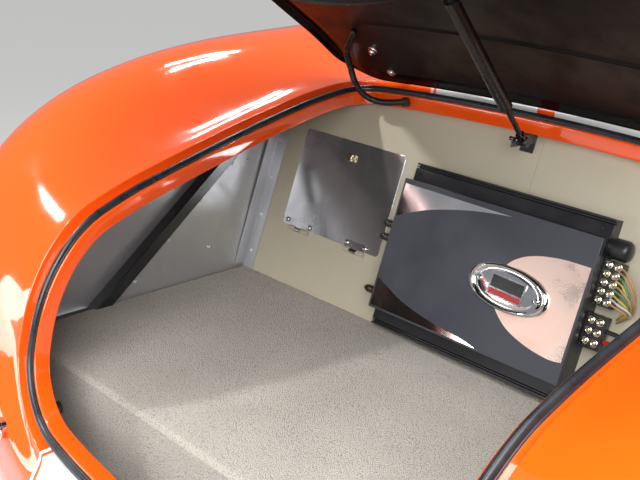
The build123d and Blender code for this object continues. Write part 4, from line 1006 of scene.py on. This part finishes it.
gutter = bmesh.new()
gutter_line = rounded(GUTTER, GUTTER_ROUND)
striped_part = [int(d < SEAL_FROM + 2 and depth < SEAL_FLOOR + 1) for d, depth in gutter_line]
add_round_opening(gutter, gutter_line, close_columns=True, slots=striped_part)
mirrored_join(gutter)
lip = add_shape("gutter_and_lip", gutter, plain_gelcoat, "boot_gutter", stands_for=("boot_gutter",))
lip.data.materials.append(striped_gelcoat)

# Seal: a black rubber bulb section pressed onto the gutter's floor, with a bead
# along each foot and a groove in its crown.
SEAL_SHAPE = [(0.0, 0.2), (0.0, 2.6), (0.8, 3.4), (1.6, 3.6), (1.9, 5.6), (3.2, 8.0), (5.4, 9.8), (7.2, 10.4),
              (8.0, 10.0), (8.8, 10.4), (10.6, 9.8), (12.8, 8.0), (14.1, 5.6), (14.4, 3.6), (15.2, 3.4),
              (16.0, 2.6), (16.0, 0.2)]
seal_rubber = worn("seal_rubber", (0.016, 0.018, 0.022), 0.33, stain=(0.05, 0.055, 0.06), amount=0.4,
                   loss=0.26, Stain_Scale=20.0, Grain_Scale=600.0, Grain=0.15)
seal = bmesh.new()
seal_line = [(SEAL_FROM + d, SEAL_FLOOR - height) for d, height in SEAL_SHAPE]
add_round_opening(seal, seal_line, close_columns=True)
mirrored_join(seal)
add_shape("seal_bulb", seal, seal_rubber, "boot_seal", stands_for=("boot_seal",))

# Tail lamps: chromed bezels round ribbed red and amber lenses, two on each side.
# The lenses are moulded plastic, deep in colour.
bright_chrome = worn("bright_chrome", (0.80, 0.80, 0.81), 0.07, stain=(0.5, 0.5, 0.5), amount=0.2, loss=0.05,
                     metallic=1.0, Grain=0.02)
eased(bright_chrome, "lamp_bezels", edge=1.8, segments=3)
for name, colour in (("stop_lens", (0.50, 0.006, 0.006)), ("turn_lens", (0.80, 0.22, 0.008))):
    lens = worn(name, colour, 0.12, stain=tuple(0.55 * c for c in colour), amount=0.5, loss=0.08, coat=0.6,
                Stain_Scale=120.0, Grain_Scale=420.0, Grain=0.9)
    eased(lens, name + "es", edge=1.0)

# Bumper rods: steel bars through the tail for the bumper, with a chromed spacer
# and washer outside the body and a bare stud at the end.
ROD_X, ROD_Z, SPACER_FROM_Y = 376.0, 4.0, -764.0
SPACER = [(12.6, 0), (12.6, 41), (12.0, 41.4), (18.6, 41.4), (19.2, 42.0), (19.2, 45.0), (18.6, 45.6),
          (13.6, 45.6), (13.6, 46.6)]
ROD_NUT = [(14.2, 46.6), (15.0, 47.6), (15.0, 57.0), (13.8, 58.6), (8.2, 58.6)]
bright_rod = worn("bright_rod", (0.78, 0.78, 0.79), 0.09, stain=(0.42, 0.41, 0.40), amount=0.25, loss=0.07,
                  metallic=1.0, Grain=0.03)
eased(frame_coat, "bumper_rod_left", "bumper_rod_right", edge=1.0)
spacers = bmesh.new()
for x in (-ROD_X, ROD_X):
    for section, steps in ((SPACER, 36), (ROD_NUT, 6)):
        turned(spacers, section, (x, SPACER_FROM_Y, ROD_Z), (0, -1, 0), steps)
add_shape("bumper_spacers", spacers, bright_rod, "bumper_rod_left")

# Lid: an orange moulding with the stripes running on over it, edges turned in, and
# a dark inner panel. It is drawn closed and then turned open about its hinges.
LID_OPEN = math.radians(42)
LID_GAP, LID_SKIN, LID_EDGE = 5.0, 4.0, 1.6
LID_COLUMNS = 64
FLANGE = [(5.4, 3.0), (5.4, 14.6), (6.2, 16.0), (7.6, 16.4), (9.0, 16.0), (9.8, 14.6), (10.2, 8.0),
          (12.0, 5.6), (16.0, 4.4), (16.0, 3.4)]
FLANGE_FROM, FLANGE_FULL, FLANGE_TOP, FLANGE_LEAST = 225.0, 330.0, 3.0, 0.12
UNDER_SPECULAR = 0.17
hinge = Vector(next(joint for joint in frame["joints"] if joint["name"] == "lid_hinge")["pos_m"])
opened = Matrix.Translation(hinge) @ Matrix.Rotation(-LID_OPEN, 4, "X") @ Matrix.Translation(-hinge)
under_gelcoat = worn("under_gelcoat", (0.004, 0.0032, 0.0032), 0.12, stain=(0.008, 0.006, 0.006), amount=0.4,
                     loss=0.12, Stain_Scale=8.0, Grain=0.02)
tuned(under_gelcoat, Specular_IOR_Level=UNDER_SPECULAR)


def add_lid_sheet(name, inset, depth, material, node, *sheet, way=1):
    """A sheet of the lid inside the opening at an inset, drawn closed and turned open."""
    rows = []
    for x, s, in_x, in_s in opening:
        half, at = -(x + inset * in_x), s + inset * in_s
        in_front = half < HALF_FRONT - FRONT_CORNER_R and s < WAIST_AT
        if not in_front and not (in_s == -1.0 and rows):
            rows.append([skin_point(half * (2 * j / LID_COLUMNS - 1), at, depth)
                         for j in range(LID_COLUMNS + 1)][::way])
    mesh = grid_mesh(name, rows)
    mesh.transform(opened)
    mesh.update()
    thickened(add_piece(name, mesh, material, "lid", (node,)), *sheet)


add_lid_sheet("lid_outer", LID_GAP, 0.0, striped_gelcoat, "lid_skin", LID_SKIN, LID_EDGE, under_gelcoat,
              way=-1)
flange_rows = []
for x, s, in_x, in_s in opening:
    full = min(1.0, max(0.0, (s - FLANGE_FROM) / (FLANGE_FULL - FLANGE_FROM)))
    reach = FLANGE_LEAST + (1 - FLANGE_LEAST) * full * full * (3 - 2 * full)
    flange_rows.append([skin_point(x + d * in_x, s + d * in_s, FLANGE_TOP + (depth - FLANGE_TOP) * reach)
                        for d, depth in FLANGE])
flange = bmesh.new()
add_grid(flange, flange_rows, close_columns=True)
mirrored_join(flange)
add_shape("lid_flange", flange, under_gelcoat, "lid_skin", "lid", moved=opened)

# Inner panel of the lid: a near-black moulded sheet bonded inside the skin, with a
# swaged rib across it a little back from the hinges.
LINER_INSET, LINER_SHEET, LINER_TOP, LINER_EDGE = 46.0, 3.0, 4.6, 1.2
LINER_UNDER = LINER_TOP + LINER_SHEET
RIB_AT, RIB_HALF, RIB_HEIGHT, RIB_SUNK = 452.0, 7.0, 4.0, 0.3
liner_sheet = worn("liner_sheet", (0.005, 0.0046, 0.0048), 0.2, stain=(0.009, 0.0085, 0.009), amount=0.5,
                   loss=0.3, Stain_Scale=12.0, Grain_Scale=500.0, Grain=0.03)
tuned(liner_sheet, Specular_IOR_Level=UNDER_SPECULAR)
add_lid_sheet("lid_inner_panel", LINER_INSET, LINER_UNDER, liner_sheet, "lid_liner", LINER_SHEET, LINER_EDGE)
rib = bmesh.new()
add_grid(rib, [[skin_point(x, RIB_AT + RIB_HALF * k / 4,
                           LINER_UNDER - RIB_SUNK + RIB_HEIGHT * math.cos(math.pi * k / 8) ** 0.8)
                for k in range(-4, 5)] for x in range(-300, 301, 10)])
add_shape("lid_rib", rib, liner_sheet, "lid_liner", "lid", moved=opened)

# Strap hinges: chromed steel leaves over the deck and the lid, each fixed by two
# bolts whose heads, nuts and washers show through the skin on both sides.
BOLT_X, HEAD_DEPTH = 347.0, -3.4
LID_BOLT_FRONT, LID_BOLT_REAR = FRONT_AT + LID_GAP + 45.0, FRONT_AT + LID_GAP + 130.0
DECK_BOLTS = (FRONT_AT - 55.0, FRONT_AT - 28.0)
WASHER = [(0.0, 0.0), (10.0, 0.0), (10.0, 1.3), (9.4, 1.7), (6.0, 1.7)]
HEX_NUT = [(7.2, 1.6), (7.4, 2.2), (7.4, 6.6), (6.4, 7.6), (3.2, 7.6)]
STUD_END = [(3.2, 7.0), (3.2, 11.4), (2.6, 12.0), (0.0, 12.0)]
DOME_HEAD = [(8.0, 0.0), (7.8, 1.6), (6.6, 3.4), (4.2, 4.6), (0.0, 5.0)]
DOME_ON_WASHER = [(radius, height + 1.7) for radius, height in DOME_HEAD]
hinge_chrome = worn("hinge_chrome", (0.78, 0.78, 0.79), 0.1, stain=(0.45, 0.44, 0.42), amount=0.3, loss=0.07,
                    metallic=1.0, Grain=0.03)
eased(hinge_chrome, "deck_hinge_leaves", "lid_hinge_leaves", "lid_hinge_pins", edge=0.8)


def add_bolt(shape, x, s, depth, inside, *forms):
    """Add turned forms, each with its steps, on one side of the skin at a depth."""
    along = skin_point(x, s + 1, depth) - skin_point(x, s - 1, depth)
    across = skin_point(x + 1, s, depth) - skin_point(x - 1, s, depth)
    out = across.cross(along).normalized() * (1 if inside else -1)
    for form, steps in forms:
        turned(shape, form, skin_point(x, s, depth), out, steps)


lid_bolts, deck_bolts = bmesh.new(), bmesh.new()
for x in (-BOLT_X, BOLT_X):
    add_bolt(lid_bolts, x, LID_BOLT_FRONT, LINER_UNDER, True, (WASHER, 28), (DOME_ON_WASHER, 24))
    add_bolt(lid_bolts, x, LID_BOLT_FRONT, HEAD_DEPTH, False, (DOME_HEAD, 24))
    add_bolt(lid_bolts, x, LID_BOLT_REAR, LINER_UNDER, True, (WASHER, 28), (HEX_NUT, 6), (STUD_END, 12))
    add_bolt(lid_bolts, x, LID_BOLT_REAR, HEAD_DEPTH, False, (DOME_HEAD, 24))
    for s in DECK_BOLTS:
        add_bolt(deck_bolts, x, s, HEAD_DEPTH, False, (DOME_HEAD, 24))
add_shape("lid_bolts", lid_bolts, hinge_chrome, "lid_hinge_leaves", "lid", moved=opened)
add_shape("deck_bolts", deck_bolts, hinge_chrome, "deck_hinge_leaves")

# Lid handle: a chromed turning handle on the rear of the lid, bright like the lamps'
# bezels, with its edges well rounded.
eased(bright_chrome, "lid_handle", edge=1.6, segments=3)

# Gas strut: a black cylinder with a crimped end, a plated rod into a black ball
# socket, and the bracket and clevis that carry it.
strut_black = worn("strut_black", (0.010, 0.010, 0.011), 0.25, stain=(0.04, 0.04, 0.04), amount=0.2,
                   loss=0.22, coat=0.3)
rod_steel = worn("rod_steel", (0.10, 0.10, 0.11), 0.2, stain=(0.04, 0.04, 0.04), amount=0.3, loss=0.15,
                 metallic=1.0)
eased(strut_black, "strut_cylinder", edge=1.2)
eased(rod_steel, "strut_rod", edge=0.8)
eased(strut_black, "strut_foot_bracket", "lid_clevis", edge=0.8)

# Loom: the lid's wires in a black corrugated conduit that hangs in a loop from the
# lid and is taped where it meets the lip.
LOOM_ROUTE = [(-336, -93, 627), (-366, -70, 604), (-395, -41, 583), (-413, -12, 562), (-421, 12, 538),
              (-424, 29, 514), (-414, 41, 492), (-392, 47, 480), (-362, 52, 477), (-334, 56, 482),
              (-312, 59.6, 487)]
LOOM_R, LOOM_RIDGE, LOOM_PITCH = 7.0, 0.9, 3.6
loom_plastic = worn("loom_plastic", (0.012, 0.012, 0.013), 0.3, stain=(0.05, 0.05, 0.05), amount=0.2,
                    loss=0.26)
tape = worn("tape", (0.013, 0.013, 0.014), 0.4, stain=(0.05, 0.05, 0.05), amount=0.3, loss=0.35,
            Grain_Scale=400.0, Grain=0.4)


def loom_radius(travelled):
    """Radius of the ridged conduit at a distance along it."""
    return LOOM_R - LOOM_RIDGE + LOOM_RIDGE * math.sin(2 * math.pi * travelled / LOOM_PITCH)


loom_line = smooth_line(LOOM_ROUTE, 34)
loom_mesh = mesh_of("lid_loom_conduit", tube(loom_line, loom_radius, 18))
loom_mesh.materials.append(loom_plastic)
loom_mesh.shade_smooth()
loom_piece = new_object("lid_loom_conduit", loom_mesh)
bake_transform(loom_piece)
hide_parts("lid_loom")
eased(tape, "loom_ferrule", edge=1.4, segments=3)

# Studio: a pale floor at the height of the road, wide soft lights above and behind,
# a low card, two ceiling tubes, and a camera where the photographer stood.
ROAD_Z, FLOOR_HALF = -0.42, 14
FLOOR_PALE, FLOOR_GLOW = (0.80, 0.795, 0.78, 1), 0.55
FLOOR_SHADED = (0.30, 0.297, 0.29)
CAMERA_AT = (0.771, -1.4108, 0.771)
CAMERA_RIGHT = (0.7312, 0.6746, 0.1016)
CAMERA_UP = (-0.2847, 0.1663, 0.9441)
CAMERA_BACK = (0.6200, -0.7192, 0.3136)
LENS_MM, SENSOR_MM = 49.51, 36.0
LIGHTS = (("key", (-1.65, -1.45, 2.1), (0.0, -0.15, 0.25), (0.14, 0.14), 34),
          ("overhead", (0.75, -1.5, 2.5), (-0.1, -0.3, 0.2), (2.6, 2.2), 128),
          ("rear_fill", (1.1, -2.3, 1.3), (-0.3, 0.0, 0.2), (1.9, 1.2), 72),
          ("card", (-2.3, -3.0, 0.2), (0.0, 0.0, 0.15), (1.8, 0.7), 26))
TUBES = (("tube_far", (-1.69, 0.65, 2.57), (-1.50, 1.20, 2.47), 0.06),
         ("tube_near", (-1.34, 0.60, 2.58), (-1.35, 1.05, 2.54), 0.075))
TUBE_POWER, TUBE_TARGET = 8.0, Vector((-0.4, -0.2, 0.4))
SKY, SKY_STRENGTH = (0.86, 0.88, 0.92, 1), 0.30


def soft_light(name, place, size, power):
    """A rectangular light at a place, in metres."""
    data = bpy.data.lights.new(name, "AREA")
    data.shape = "RECTANGLE"
    data.size, data.size_y = size
    data.energy = power
    light = new_object(name, data)
    light.location = place
    return light


stage_mesh = bpy.data.meshes.new("studio_floor")
stage_corners = ((-1, -1), (1, -1), (1, 1), (-1, 1))
stage_mesh.from_pydata([(x * FLOOR_HALF, y * FLOOR_HALF, ROAD_Z) for x, y in stage_corners], [], [range(4)])
floor = new_object("studio_floor", stage_mesh)
floor_paint = finish("studio_floor", FLOOR_SHADED, 0.85)
tree = floor_paint.node_tree
shade = tree.nodes["Principled BSDF"].outputs[0]
glow = add_node(tree, "ShaderNodeEmission", Color=FLOOR_PALE, Strength=FLOOR_GLOW).outputs[0]
both = add_node(tree, "ShaderNodeAddShader", shade, glow).outputs[0]
rays = add_node(tree, "ShaderNodeLightPath").outputs
shown = math_node(tree, "MAXIMUM", rays["Is Camera Ray"], rays["Is Glossy Ray"])
shown = math_node(tree, "MAXIMUM", shown, rays["Is Transmission Ray"])
lit = add_node(tree, "ShaderNodeMixShader", shown, shade, both).outputs[0]
feed(tree, tree.nodes["Material Output"], Surface=lit)
stage_mesh.materials.append(floor_paint)
for name, place, target, size, power in LIGHTS:
    light = soft_light(name, place, size, power)
    light.rotation_euler = (Vector(target) - Vector(place)).to_track_quat("-Z", "Y").to_euler()
for name, start, end, width in TUBES:
    start, end = Vector(start), Vector(end)
    middle, along = (start + end) / 2, (end - start).normalized()
    light = soft_light(name, middle, (width, (end - start).length), TUBE_POWER)
    side = along.cross((middle - TUBE_TARGET).normalized()).normalized()
    light.rotation_euler = Matrix((side, along, side.cross(along))).transposed().to_euler()
world = bpy.data.worlds.new("studio")
world.use_nodes = True
feed(world.node_tree, world.node_tree.nodes["Background"], Color=SKY, Strength=SKY_STRENGTH)
scene = bpy.context.scene
scene.world = world
scene.view_settings.view_transform = "Standard"
camera_data = bpy.data.cameras.new("camera")
camera_data.lens = LENS_MM
camera_data.sensor_width = SENSOR_MM
camera = new_object("camera", camera_data)
turn = Matrix((CAMERA_RIGHT, CAMERA_UP, CAMERA_BACK)).transposed()
camera.matrix_world = Matrix.Translation(CAMERA_AT) @ turn.to_4x4()
scene.camera = camera
